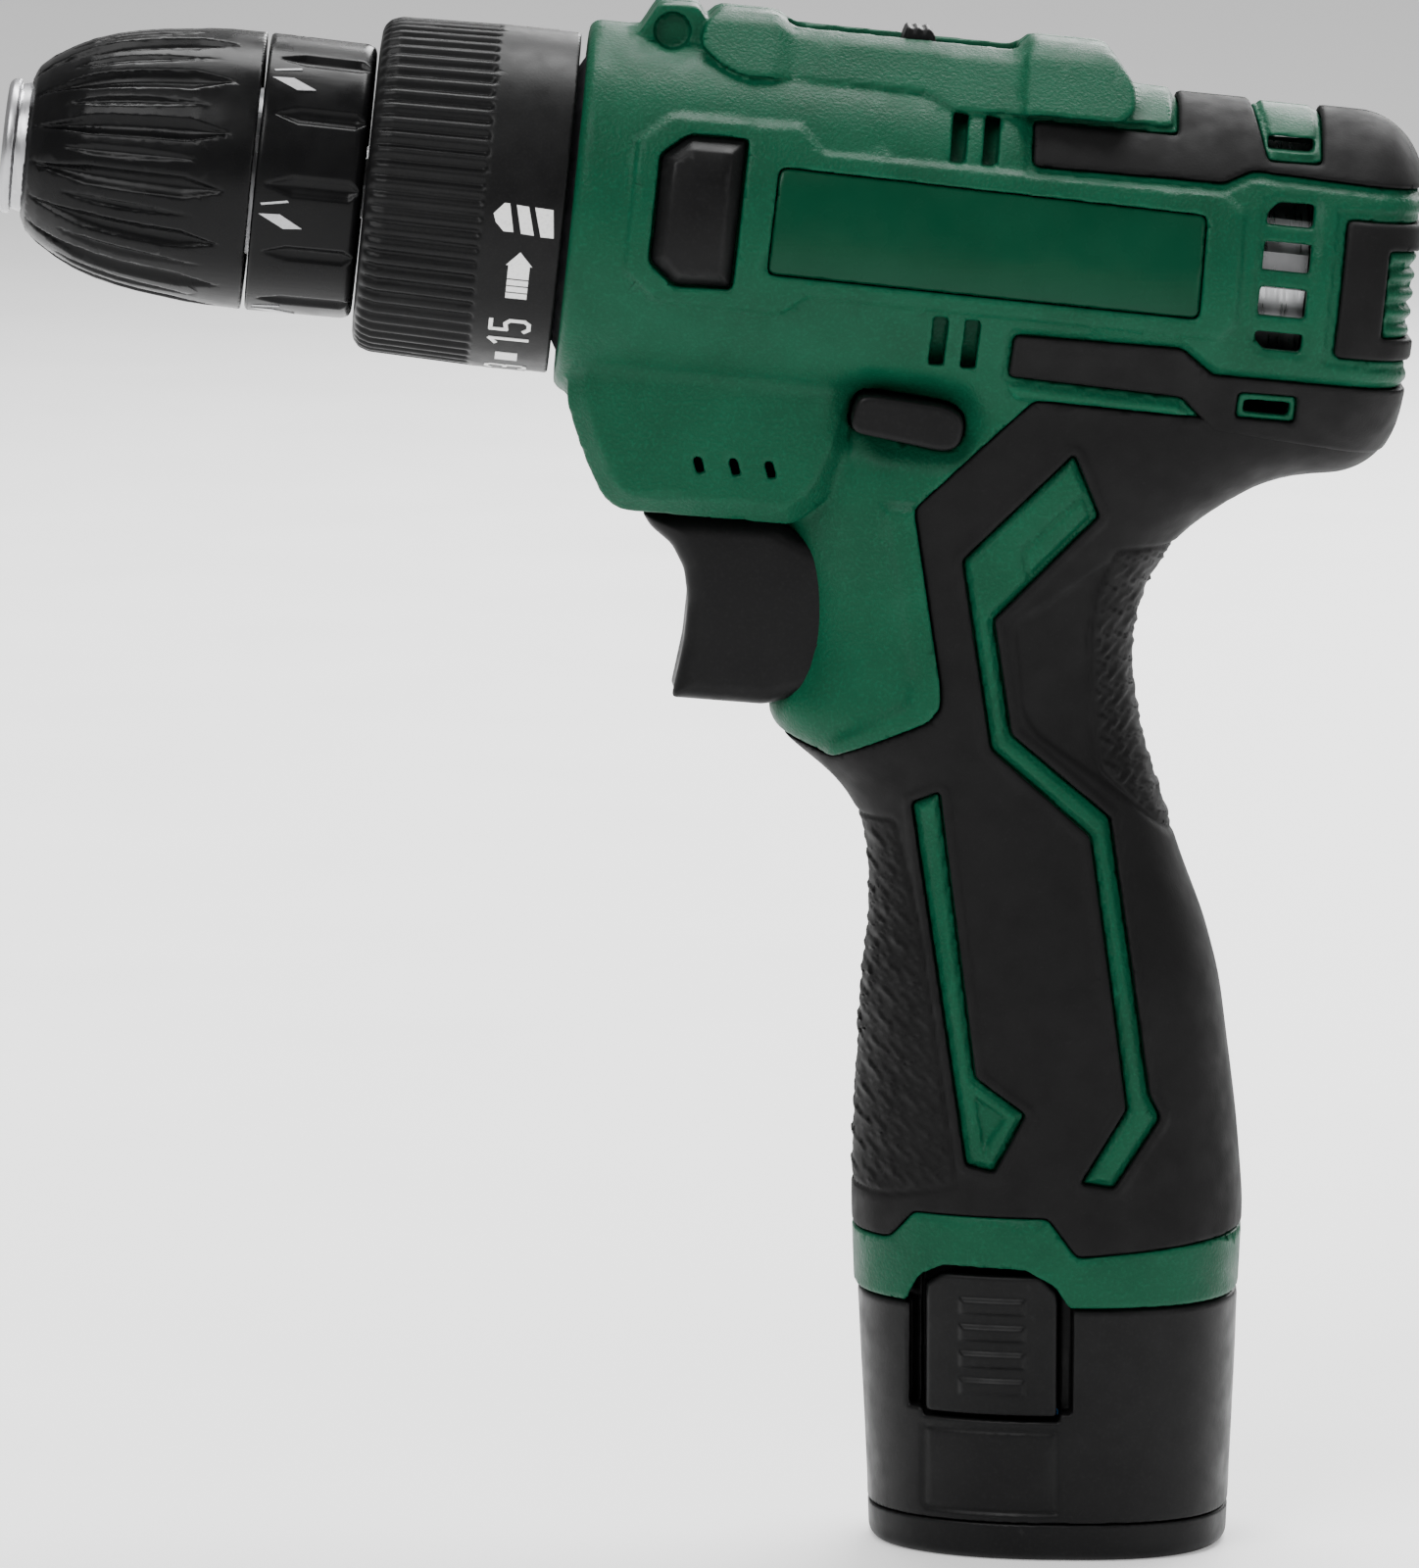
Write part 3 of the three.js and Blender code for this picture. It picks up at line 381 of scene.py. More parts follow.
def surface(field, grid, adaptivity=0.0):
    """Vertices in millimetres, their normals and the faces of a field's zero surface."""
    reach = 3 * grid.pitch
    volume = vdb.FloatGrid(reach)
    volume.copyFromArray(np.ascontiguousarray(np.clip(field, -reach, reach), dtype=np.float32))
    places, triangles, quads = volume.convertToPolygons(isovalue=0.0, adaptivity=adaptivity)
    places = places.astype(float)
    normals = np.zeros_like(places)
    for axis in range(3):
        ahead, behind = places.copy(), places.copy()
        ahead[:, axis] += 0.7
        behind[:, axis] -= 0.7
        normals[:, axis] = sample(field, ahead) - sample(field, behind)
    normals /= np.maximum(np.linalg.norm(normals, axis=1, keepdims=True), 1e-9)
    faces = [tuple(face) for face in quads.tolist()] + [tuple(face) for face in triangles.tolist()]
    a, b, c = (places[[face[i] for face in faces]] for i in range(3))
    facing = np.einsum("ij,ij->i", np.cross(b - a, c - a), normals[[face[0] for face in faces]]).sum()
    if facing < 0:
        faces = [face[::-1] for face in faces]
    return grid.start + places * grid.pitch, normals, faces


def link(name, data):
    """A new object of that data, in the scene."""
    made = bpy.data.objects.new(name, data)
    bpy.context.scene.collection.objects.link(made)
    return made


def piece_from(name, field, grid, body, slot, nodes, look=None, mirrored=False, adaptivity=0.0):
    """A field's finished piece, in its slot's look unless it has its own."""
    points, normals, faces = surface(field, grid, adaptivity)
    if mirrored:
        points[:, 1] *= -1
        normals[:, 1] *= -1
        faces = [face[::-1] for face in faces]
    points = points * MM
    if grid.tilted:
        turn = np.array(HEAD_TO_ROW)
        points = points @ turn[:3, :3].T + turn[:3, 3]
        normals = normals @ turn[:3, :3].T
    mesh = bpy.data.meshes.new(name)
    mesh.from_pydata(points.tolist(), [], faces)
    mesh.shade_smooth()
    mesh.normals_split_custom_set_from_vertices(normals.tolist())
    fit(link(name, mesh), look or LOOKS[slot], body, nodes)


def fit(piece, look, body, nodes=()):
    """Paints a piece, sets it riding on its body and lets it stand for its CAD nodes."""
    piece.data.materials.append(look)
    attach(piece, body)
    if nodes:
        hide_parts(*nodes)


# ---------------------------------------------------------------- materials
class Look:
    """A node material on a Principled shader, with object coordinates in millimetres."""

    def __init__(self, name, color, rough, metal=0.0, **sockets):
        self.material = bpy.data.materials.new(name)
        self.material.use_nodes = True
        self.tree = self.material.node_tree
        self.shader = self.tree.nodes["Principled BSDF"]
        self.shader.inputs["Metallic"].default_value = metal
        self.shader.inputs["Roughness"].default_value = rough
        self.shader.inputs["Base Color"].default_value = (*color, 1)
        for socket, value in sockets.items():
            self.shader.inputs[socket.replace("_", " ")].default_value = value
        place = self.node("ShaderNodeTexCoord")
        scale = self.node("ShaderNodeVectorMath", operation="SCALE")
        scale.inputs["Scale"].default_value = 1 / MM
        self.join(place.outputs["Object"], scale.inputs[0])
        self.place = scale.outputs[0]
        self.height = None

    def node(self, kind, **settings):
        """A new shader node with the given settings."""
        made = self.tree.nodes.new(kind)
        for key, value in settings.items():
            setattr(made, key, value)
        return made

    def join(self, source, target):
        """Links an output socket to an input socket."""
        self.tree.links.new(source, target)

    def noise(self, size, detail=3.0, stretch=(1, 1, 1)):
        """Noise whose grains are about size millimetres across."""
        mapping = self.node("ShaderNodeMapping")
        mapping.inputs["Scale"].default_value = stretch
        self.join(self.place, mapping.inputs["Vector"])
        made = self.node("ShaderNodeTexNoise")
        made.inputs["Scale"].default_value = 1 / size
        made.inputs["Detail"].default_value = detail
        self.join(mapping.outputs[0], made.inputs["Vector"])
        return made.outputs["Fac"]

    def spread(self, source, low, high, start=0.3, end=0.7):
        """A value mapped from start-end to low-high."""
        made = self.node("ShaderNodeMapRange")
        for key, value in (("From Min", start), ("From Max", end), ("To Min", low), ("To Max", high)):
            made.inputs[key].default_value = value
        self.join(source, made.inputs["Value"])
        return made.outputs["Result"]

    def tint(self, factor, color):
        """Mixes another colour into the base colour."""
        made = self.node("ShaderNodeMix", data_type="RGBA")
        socket = self.shader.inputs["Base Color"]
        if socket.is_linked:
            self.join(socket.links[0].from_socket, made.inputs[6])
        else:
            made.inputs[6].default_value = socket.default_value
        made.inputs[7].default_value = (*color, 1)
        self.join(factor, made.inputs[0])
        self.join(made.outputs[2], socket)

    def roughness(self, source, low, high):
        """Lets the roughness vary from low to high."""
        self.join(self.spread(source, low, high), self.shader.inputs["Roughness"])

    def bump(self, source, depth):
        """Adds relief of the given depth in millimetres."""
        made = self.node("ShaderNodeBump")
        made.inputs["Strength"].default_value = 1.0
        made.inputs["Distance"].default_value = depth * MM
        self.join(source, made.inputs["Height"])
        if self.height is not None:
            self.join(self.height, made.inputs["Normal"])
        self.height = made.outputs["Normal"]
        self.join(self.height, self.shader.inputs["Normal"])

    def edge_wear(self, color, amount):
        """Rubbed edges: the mesh's convex edges take a paler tone, broken up by noise."""
        geometry = self.node("ShaderNodeNewGeometry")
        edges = self.spread(geometry.outputs["Pointiness"], 0, 1, 0.52, 0.6)
        patchy = self.node("ShaderNodeMath", operation="MULTIPLY")
        self.join(edges, patchy.inputs[0])
        self.join(self.spread(self.noise(2.5), 0, amount), patchy.inputs[1])
        self.tint(patchy.outputs[0], color)


def spark_plastic(name, color, rough, grain, depth, pale):
    """Moulded plastic from a spark-eroded tool: fine grain, slight mottling, rubbed edges."""
    look = Look(name, color, rough, Specular_IOR_Level=0.13)
    look.tint(look.spread(look.noise(9), 0, 0.18), pale)
    look.tint(look.spread(look.noise(grain, 2), 0, 0.25, 0.5, 0.75), pale)
    look.roughness(look.noise(3.5), rough - 0.06, rough + 0.08)
    look.bump(look.noise(grain, 2), depth)
    look.bump(look.noise(14, 1), 0.05)
    look.edge_wear(pale, 0.6)
    return look.material


def soft_rubber(name, color, rough):
    """Matt elastomer: dust in the pores, faint flow marks and a dry sheen."""
    look = Look(name, color, rough, Specular_IOR_Level=0.12)
    look.tint(look.spread(look.noise(6), 0, 0.3), [c * 1.6 for c in color])
    look.tint(look.spread(look.noise(0.5, 2), 0, 0.3, 0.62, 0.75), [c * 2.6 for c in color])
    look.roughness(look.noise(4), rough - 0.08, rough + 0.08)
    look.bump(look.noise(0.35, 2), 0.02)
    look.bump(look.noise(18, 1, (1, 1, 3)), 0.05)
    look.edge_wear([c * 2.5 for c in color], 0.5)
    return look.material


def smooth_plastic(name, color, rough, depth=0.012):
    """Polished moulding: faint ripple, fine scratches and fingered patches."""
    look = Look(name, color, rough, Specular_IOR_Level=0.12)
    look.tint(look.spread(look.noise(12), 0, 0.3), [c * 1.5 + 0.004 for c in color])
    look.roughness(look.noise(5), rough - 0.05, rough + 0.1)
    look.bump(look.noise(0.6, 2, (0.12, 1, 1)), depth)
    look.bump(look.noise(8, 1), 0.03)
    look.edge_wear([min(1, c * 3 + 0.01) for c in color], 0.4)
    return look.material


def metal(name, color, rough, stretch=(1, 1, 1), size=0.4):
    """Machined metal: tool marks drawn out along one direction, with stained patches."""
    look = Look(name, color, rough, 1.0)
    look.tint(look.spread(look.noise(5), 0, 0.4), [c * 0.7 for c in color])
    look.roughness(look.noise(size, 3, stretch), rough - 0.07, rough + 0.14)
    look.bump(look.noise(size, 3, stretch), 0.008)
    look.edge_wear([min(1, c * 1.3) for c in color], 0.5)
    return look.material


def marking_ink(name, color, rough):
    """Screen-printed ink: pinholes and thin patches."""
    look = Look(name, color, rough)
    look.tint(look.spread(look.noise(0.35, 3), 0, 0.5, 0.5, 0.75), [c * 0.6 for c in color])
    look.roughness(look.noise(1.2), rough - 0.1, rough + 0.1)
    look.bump(look.noise(0.25, 2), 0.01)
    return look.material


def clear_plastic(name):
    """A clear moulding with a slight ripple."""
    look = Look(name, (0.92, 0.95, 0.96), 0.12, Transmission_Weight=0.9, IOR=1.49)
    look.roughness(look.noise(2), 0.08, 0.2)
    look.bump(look.noise(0.8), 0.02)
    return look.material


GREEN = (0.0, 0.042, 0.019)
PALE_GREEN = (0.003, 0.11, 0.055)
BLACK = (0.003, 0.003, 0.0032)
PALE_BLACK = (0.012, 0.012, 0.012)
GREY = (0.05, 0.05, 0.055)
PALE_GREY = (0.1, 0.1, 0.11)
LOOKS = {
    "green_housing": spark_plastic("spark_green_plastic", GREEN, 0.46, 0.45, 0.09, PALE_GREEN),
    "black_rubber": soft_rubber("matt_black_rubber", (0.0045, 0.0044, 0.0045), 0.66),
    "black_plastic": spark_plastic("satin_black_plastic", BLACK, 0.42, 0.5, 0.012, PALE_BLACK),
    "gloss_panel": smooth_plastic("gloss_green_panel", (0.0, 0.034, 0.015), 0.25),
    "bright_steel": metal("bright_turned_steel", (0.42, 0.42, 0.43), 0.3, (1, 0.08, 0.08)),
    "dark_steel": metal("dark_oiled_steel", (0.07, 0.07, 0.075), 0.42),
    "spring_steel": metal("drawn_spring_wire", (0.45, 0.46, 0.47), 0.3),
    "brass": metal("sintered_brass", (0.62, 0.44, 0.2), 0.35),
    "grey_plastic": spark_plastic("grey_moulded_nylon", GREY, 0.5, 0.6, 0.02, PALE_GREY),
    "cell_wrap": smooth_plastic("blue_shrink_sleeve", (0.03, 0.16, 0.4), 0.35),
    "red_insulation": smooth_plastic("red_wire_insulation", (0.45, 0.02, 0.015), 0.4),
    "black_insulation": smooth_plastic("black_wire_insulation", (0.012, 0.012, 0.012), 0.4),
    "clear_lens": clear_plastic("clear_lens_moulding"),
}
CHUCK_BLACK = smooth_plastic("chuck_sleeve_black", (0.002, 0.002, 0.0022), 0.27)
COLLAR_BLACK = spark_plastic("collar_black", BLACK, 0.4, 0.35, 0.012, PALE_BLACK)
WHITE_INK = marking_ink("white_print", (0.75, 0.75, 0.74), 0.5)
SILVER_INK = marking_ink("silver_print", (0.42, 0.42, 0.43), 0.4)


# ---------------------------------------------------------------- housing shells and their skins
def rails(grid):
    """The two ridges along the top that flank the speed knob."""
    side_view = region(RAIL, grid.hx, grid.hz, 1.0)
    top = np.array(RAIL[2:8])
    ridge = single(np.interp(grid.hx, top[:, 0], top[:, 1]))
    edge = single(np.interp(grid.hx, [15, 20, 46, 50], [8.4, 9.0, 9.0, 9.6]))
    crown = (grid.hz - ridge + 0.32 * (grid.side - 5.6)) / 1.05
    flank = 0.72 * (grid.side - edge) + 0.69 * (grid.hz - ridge + 0.9)
    inner = np.maximum(grid.side - 5.3, single(np.abs(grid.hx - 41.8) - 15.2))
    shape = both(side_view, single(crown), 0.3)
    shape = both(shape, single(flank), 0.3)
    return cut(shape, inner, 0.3)


def envelope(grid):
    """The drill body's outer form without its fine relief."""
    barrel = loft(grid, grid.hx, grid.hz, BARREL, BARREL_POWER, soften=4)
    barrel = both(barrel, single(grid.hx - REAR_X), 9)
    barrel = both(barrel, single(FRONT_X - grid.hx), 1.6)
    handle = loft(grid, grid.z, grid.x, HANDLE, PLAN_POWER, PLAN_SKEW)
    handle = both(handle, single(SEAM_Z - grid.z), 0.5)
    handle = both(handle, single(grid.hz + 8), 0.5)
    nose = chamfered(region(TRIGGER_HOUSING, grid.hx, grid.hz, 1.5), grid.side - HOUSING_HALF, 2.6)
    body = merged(barrel, handle, 4)
    body = merged(body, nose, 1.0)
    ear = both(region(EAR, grid.hx, grid.hz, 0.7), grid.side - 8, 0.5)
    body = merged(body, ear, 0.7)
    return merged(body, rails(grid), 0.35)


def grip_accents(grid):
    """The green strips that show through the grip's rubber."""
    strips = [region(outline, grid.x, grid.z, 0.5) for outline in (STRIP_A, STRIP_B)]
    return np.minimum(*strips)


def relief(grid):
    """Height of the moulded relief on the housing's outer surface."""
    head = (grid.hx, grid.hz)
    row = (grid.x, grid.z)
    strips = grip_accents(grid)
    height = 0.75 * step(region(EMBOSS, *head, 0.6), 0.7)
    height -= 0.5 * step(region(UPPER_BUMPER, *head) - 1.1, 0.5)
    height -= 0.5 * step(region(LOWER_BUMPER, *head) - 0.9, 0.5)
    height += 0.5 * step(region(UPPER_LIP, *head, 0.6), 0.5)
    height += 0.55 * step(region(RAISED_BAR, *head, 0.5), 0.5)
    height -= 0.5 * step(region(REAR_FRAME, *head, 0.6), 0.5)
    height += 0.8 * step(region(GUARD_BAND, *row, 1.0), 1.6)
    height -= 1.3 * step(region(REVERSE_BAR, *head, 1.5) - 2.0, 4.5)
    height -= 0.55 * step(strips, 0.5)
    height += 0.55 * step(strips + 0.8, 0.5)
    panel = region(STRIP_A_PANEL, *row, 0.2)
    height -= 0.5 * step(np.abs(panel) - 0.25, 0.4)
    height -= 0.8 * step(region(STRIP_B_HOLE, *row, 0.2), 0.4)
    height -= 0.35 * step(region(REAR_WINDOW, *head, 0.3) - 0.8, 0.4)
    return single(height)


def rear_ribs(grid):
    """Five ribs across the green insert at the tail."""
    insert = region(REAR_INSERT, grid.hx, grid.hz, 0.4)
    wave = 0.5 + 0.5 * np.cos((grid.hz - 0.9) * 2 * np.pi / 2.4)
    return single(0.9 * step(insert + 0.4, 0.5) * (wave**0.6 - 0.8) - 0.1 * step(insert, 0.4))


def openings(grid, outer):
    """Vents, windows and slots: the front vents end at a rib, the others go right through."""
    holes = []
    for x in VENTS:
        for z in VENT_HEIGHTS:
            vent = box_region(grid.hx, grid.hz, x, z)
            holes.append(np.maximum(vent, -(outer + VENT_DEPTH)))
    window = region(REAR_WINDOW, grid.hx, grid.hz, 0.5)
    for middle in WINDOW_BARS:
        bar = np.abs(grid.hz - middle) - WINDOW_BAR_HALF
        window = np.maximum(window, -single(bar))
    holes.append(window)
    holes.append(region(UPPER_SLOT, grid.hx, grid.hz, 0.4))
    holes.append(region(LOWER_SLOT, grid.hx, grid.hz, 0.4))
    for x, z in PIN_SLOTS:
        slot = [(x, z), (x + 1.1, z + 0.2), (x + 1.9, z - 2), (x + 0.8, z - 2.2)]
        holes.append(region(slot, grid.hx, grid.hz, 0.4))
    out = holes[0]
    for hole in holes[1:]:
        out = np.minimum(out, hole)
    return np.maximum(out, OPENING_START - grid.side)


def hollow(grid, base):
    """The space inside the shell, open at the collar end and at the battery end."""
    chamber = loft(grid, grid.z, grid.x, HANDLE, PLAN_POWER, PLAN_SKEW) + HANDLE_WALL
    chamber = np.maximum(chamber, single(grid.z - STEM_TOP - 1.5))
    mouth = np.hypot(grid.side, single(grid.hz)) - GEAR_CASE_R
    mouth = np.maximum(mouth, single(grid.hx - 8))
    front, rear, height = MOTOR_RIB
    middle, half = (front + rear) / 2, (rear - front) / 2
    rib = np.maximum(single(np.abs(grid.hx - middle) - half), -(base + height))
    room = np.maximum(base + WALL, -rib)
    return np.minimum(np.minimum(room, chamber), mouth)


def screw_holes(grid):
    """Round recesses over the housing screws, on the right side."""
    out = None
    for index in range(1, 5):
        low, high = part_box(f"housing_screw_{index}")
        x, z = (low.x + high.x) / 2 / MM, (low.z + high.z) / 2 / MM
        hole = np.hypot(grid.x - x, grid.z - z) - 3.0
        hole = np.maximum(single(hole), high.y / MM - grid.side)
        out = hole if out is None else np.minimum(out, hole)
    return out


def grip_field(grid, outer, grip):
    """The rubber grip: thumb recess, scaled patches and a rim round the green accents."""
    strips = grip_accents(grid)
    height = -0.6 * step(region(THUMB_RECESS, grid.x, grid.z, 1.2), 0.8)
    height += 0.35 * step(strips - 1.3, 0.5)
    for outline, lean in ((REAR_TEXTURE, 0.25), (FRONT_TEXTURE, -0.2)):
        patch = region(outline, grid.x, grid.z, 0.8)
        ripples = scale_ripples(grid.x + lean * grid.z, grid.z)
        border = 0.4 * step(np.abs(patch) - 0.25, 0.5)
        height += step(patch + 0.6, 0.6) * (0.55 * ripples - 0.15) - border
    raised = outer - single(height)
    shape = both(raised, grip, 0.35)
    shape = both(shape, -(strips - FIT), 0.3)
    return np.maximum(shape, -(outer + GRIP_SKIN))


def build_housing():
    """Both shells with their rubber, bumpers, pads and plates, from fields of the right half."""
    grid = Grid((-68, 52), (-1.3, 26.5), (SEAM_Z - 2, 208), PITCH)
    base = envelope(grid)
    outer = base - relief(grid) - rear_ribs(grid)
    grip = both(region(GRIP, grid.x, grid.z, 0.8), single(grid.hz) + GRIP_TOP, 0.4)
    upper = region(UPPER_BUMPER, grid.hx, grid.hz, 0.7)
    lower = region(LOWER_BUMPER, grid.hx, grid.hz, 0.6)
    lower = both(lower, -region(LOWER_SLOT_FRAME, grid.hx, grid.hz, 0.6), 0.2)
    rear = region(REAR_PAD, grid.hx, grid.hz, 0.8)
    rear = both(rear, -region(REAR_INSERT, grid.hx, grid.hz, 0.5), 0.2)
    bumper = np.minimum(np.minimum(upper, lower), rear)
    pad = np.maximum(region(PAD, grid.hx, grid.hz, 0.6), SIDE_PIECE_START - grid.side)
    plate = np.maximum(region(PLATE, grid.hx, grid.hz, 1.0), SIDE_PIECE_START - grid.side)
    trigger_pocket = region(TRIGGER_POCKET, grid.x, grid.z, 1.5)
    trigger_pocket = np.maximum(trigger_pocket, grid.side - TRIGGER_HALF - 0.5)
    seam = 0.1 - grid.y

    shell = cut(outer, hollow(grid, base), 0.2)
    for skin in (bumper, pad, plate):
        shell = cut(shell, np.maximum(skin - FIT, -(base + SKIN + 0.3)))
    grip_pocket = both(grip, -grip_accents(grid), 0.1)
    shell = cut(shell, np.maximum(grip_pocket - FIT, -(base + GRIP_SKIN + FIT)))
    shell = cut(shell, openings(grid, base))
    shell = cut(shell, trigger_pocket)
    ring_notch = region(RING_NOTCH, grid.x, grid.z, 0.8)
    shell = cut(shell, np.maximum(ring_notch, -(base + RING_NOTCH_DEPTH)))
    shell = cut(shell, region(REVERSE_BAR, grid.hx, grid.hz, 1.5) - 0.35)
    knob_slot = box_region(grid.hx, grid.hz, KNOB_SLOT, (15, 40))
    shell = cut(shell, np.maximum(knob_slot, grid.side - KNOB_SLOT_HALF))
    lens_hole = region(LENS, grid.hx, grid.hz) - 0.3
    shell = cut(shell, np.maximum(lens_hole, grid.side - LENS_HALF - 0.3))
    ear_hole = single(np.hypot(grid.hx - EAR_HOLE[0], grid.hz - EAR_HOLE[1]) - EAR_HOLE[2])
    shell = cut(shell, np.maximum(ear_hole, EAR_HOLE_START - grid.side))
    shell = both(shell, seam, 0.25)
    right = cut(shell, screw_holes(grid))

    rubber = grip_field(grid, base, grip)
    rubber = cut(rubber, trigger_pocket)
    rubber = both(rubber, seam, 0.25)
    rubber_right = cut(rubber, screw_holes(grid))
    strips = np.maximum(both(base - 0.2, bumper, 0.45), -(base + SKIN))
    strips = both(cut(strips, openings(grid, base)), seam, 0.25)
    pad_field = np.maximum(chamfered(base - 1.5, pad + 0.2, 1.7), -(base + SKIN))
    plate_field = np.maximum(both(base - 0.15, plate, 0.25), -(base + SKIN))

    for side, mirrored, shell_field, rubber_field in (
        ("left", True, shell, rubber), ("right", False, right, rubber_right),
    ):
        made = (
            ("housing", shell_field, "green_housing", 0.07),
            ("grip_rubber", rubber_field, "black_rubber", 0.01),
            ("rear_bumper", strips, "black_rubber", 0.01),
            ("side_pad", pad_field, "black_plastic", 0.01),
            ("name_plate", plate_field, "gloss_panel", 0.01),
        )
        for name, field, slot, adaptivity in made:
            node = f"{name}_{side}"
            piece_from(
                f"{node}_shell", field, grid, "housing", slot, (node,), mirrored=mirrored,
                adaptivity=adaptivity,
            )


# ---------------------------------------------------------------- chuck and collar
SLEEVE_OUTSIDE = [
    (-71.5, 9.3), (-70.7, 10.9), (-69, 12.4), (-66.4, 14), (-64, 15.2), (-61, 16.2), (-58, 16.9),
    (-55, 17.4), (-52, 17.75), (-49, 18.1), (-46, 18.3), (-41.4, 18.35),
]
SLEEVE_INSIDE = [(-41.4, 15.2), (-55, 15), (-57, 14.2), (-63, 13.2), (-68, 10.5), (-71.5, 8.95)]
REAR_SLEEVE = [
    (-40.9, 14.2), (-40.9, 18), (-40.6, 18.35), (-28, 18.15), (-27.1, 17.8), (-26.8, 17),
    (-26.8, 11.3), (-40.2, 11.3), (-40.2, 14.2),
]
CORE = [
    (-74.5, -1), (-74.5, 8.3), (-73.9, 8.9), (-72.9, 8.9), (-72.9, 8.2), (-68, 9.6), (-63, 12.4),
    (-56.6, 13.2), (-56.6, 10.2), (-47.4, 12), (-46, 13.8), (-42.4, 13.8), (-42.4, 11), (-27.6, 11),
    (-27.6, -1),
]
CORE_BORE = [
    (-76, -1), (-76, 6.2), (-74.3, 6.2), (-73.4, 5.2), (-47.8, 5.2), (-47.8, 2.6), (-41, 2.6),
    (-41, -1),
]
SPINDLE_BORE = [(-43, -1), (-43, 5.1), (-26, 5.1), (-26, -1)]
COLLAR = [
    (-26.5, 9), (-26.5, 19.6), (-26.2, 20.8), (-25.4, 21.7), (-24, 22.2), (-10.9, 22.6),
    (-0.3, 22.55), (-0.3, 20.4), (-23.6, 20), (-23.6, 9),
]
FLUTE_R = 17.4
FLUTES = 15
FLUTE_TURN = math.radians(-5)
REAR_FLUTES = 12
REAR_FLUTE_R = 18
ARROWS = 6
ARROW_PRINT_R = 18.36
JAWS = 3
JAW_BORE_R = 3.0
JAW_LEAN = math.radians(15)
JAW_MIDDLE = (63, 5)
RIBS = 66
SCALE_PRINT_R = 22.62
SCALE_FIRST = math.radians(-46.5)
SCALE_STEP = math.radians(15.6)
SCALE_NUMBERS = ("15", "13", "11", "9", "7", "5", "3", "1")
BIT_ARROW_TURN = math.radians(-21.8)
DRILL_ICON_TURN = math.radians(-2.5)


def flute(arc, x, start, full, fade, end, width, depth):
    """A scooped groove that opens from start to full and closes from fade to end."""
    opening = np.interp(x, [start, full, fade, end], [0, 1, 1, 0])
    reach = np.maximum(width * single(opening), 0.02)
    return depth * np.clip(1 - (arc / reach) ** 2, 0, 1) * single(opening**0.5)


def around(turn, count, radius, shift=0.0):
    """Distance along the rim to the nearest of count even places."""
    pitch = 2 * math.pi / count
    return radius * (np.mod(turn - shift + pitch / 2, pitch) - pitch / 2)


def build_chuck():
    """The turning front sleeve, the rear sleeve with its marks, and the steel core with its bores."""
    sleeve = Grid((-74.5, -40), (-19.5, 19.5), (-19.5, 19.5), FINE_PITCH, tilted=True)
    turn = turn_about_spindle(sleeve)
    field = revolved(sleeve, SLEEVE_OUTSIDE + SLEEVE_INSIDE)
    arc = around(turn, FLUTES, FLUTE_R, FLUTE_TURN)
    wide = flute(arc, sleeve.hx, -71, -63, -50, -44.6, 1.5, 1.0)
    arc = around(turn, FLUTES, FLUTE_R, FLUTE_TURN + math.pi / FLUTES)
    thin = flute(arc, sleeve.hx, -67, -62, -56, -47, 0.7, 0.4)
    field = field + wide + thin
    piece_from(
        "chuck_front_grip", field, sleeve, "chuck_sleeve", "black_plastic",
        ("chuck_front_sleeve",), CHUCK_BLACK, adaptivity=0.03,
    )

    rear = Grid((-42, -26), (-19.5, 19.5), (-19.5, 19.5), FINE_PITCH, tilted=True)
    field = revolved(rear, REAR_SLEEVE, 0.2)
    arc = around(turn_about_spindle(rear), REAR_FLUTES, REAR_FLUTE_R)
    field = field + flute(arc, rear.hx, -39.5, -36, -28.5, -27, 1.3, 0.7)
    piece_from(
        "chuck_rear_grip", field, rear, "chuck", "black_plastic", ("chuck_rear_sleeve",),
        CHUCK_BLACK,
    )
    marks = []
    for index in range(ARROWS):
        middle = math.radians(45 - 360 / ARROWS * index)
        marks.append((middle, [(-40, 0.8), (-37.2, 0.95), (-34.2, -0.75), (-36.6, -1)]))
        marks.append((middle + 0.12, [(-39.9, 0.05), (-36.4, 0.7), (-36.2, 0.45), (-39.7, -0.2)]))
    build_print("chuck_arrow_marks", marks, ARROW_PRINT_R, SILVER_INK, "chuck")

    core = Grid((-75.2, -27), (-14.6, 14.6), (-14.6, 14.6), FINE_PITCH, tilted=True)
    body = revolved(core, CORE)
    for profile in (CORE_BORE, SPINDLE_BORE):
        body = cut(body, revolved(core, profile), 0.15)
    cos, sin = math.cos(JAW_LEAN), math.sin(JAW_LEAN)
    ahead = core.hx + JAW_MIDDLE[0]
    for index in range(JAWS):
        spin = index * 2 * math.pi / JAWS
        out = core.y * math.cos(spin) + core.hz * math.sin(spin) - JAW_MIDDLE[1]
        sideways = -core.y * math.sin(spin) + core.hz * math.cos(spin)
        along = ahead * cos + out * sin
        away = -ahead * sin + out * cos
        jaw_bore = np.hypot(away, sideways) - JAW_BORE_R
        jaw_bore = np.maximum(single(jaw_bore), single(np.abs(along) - 20))
        body = cut(body, jaw_bore, 0.1)
    piece_from("chuck_core", body, core, "chuck", "bright_steel", ("chuck_body",))


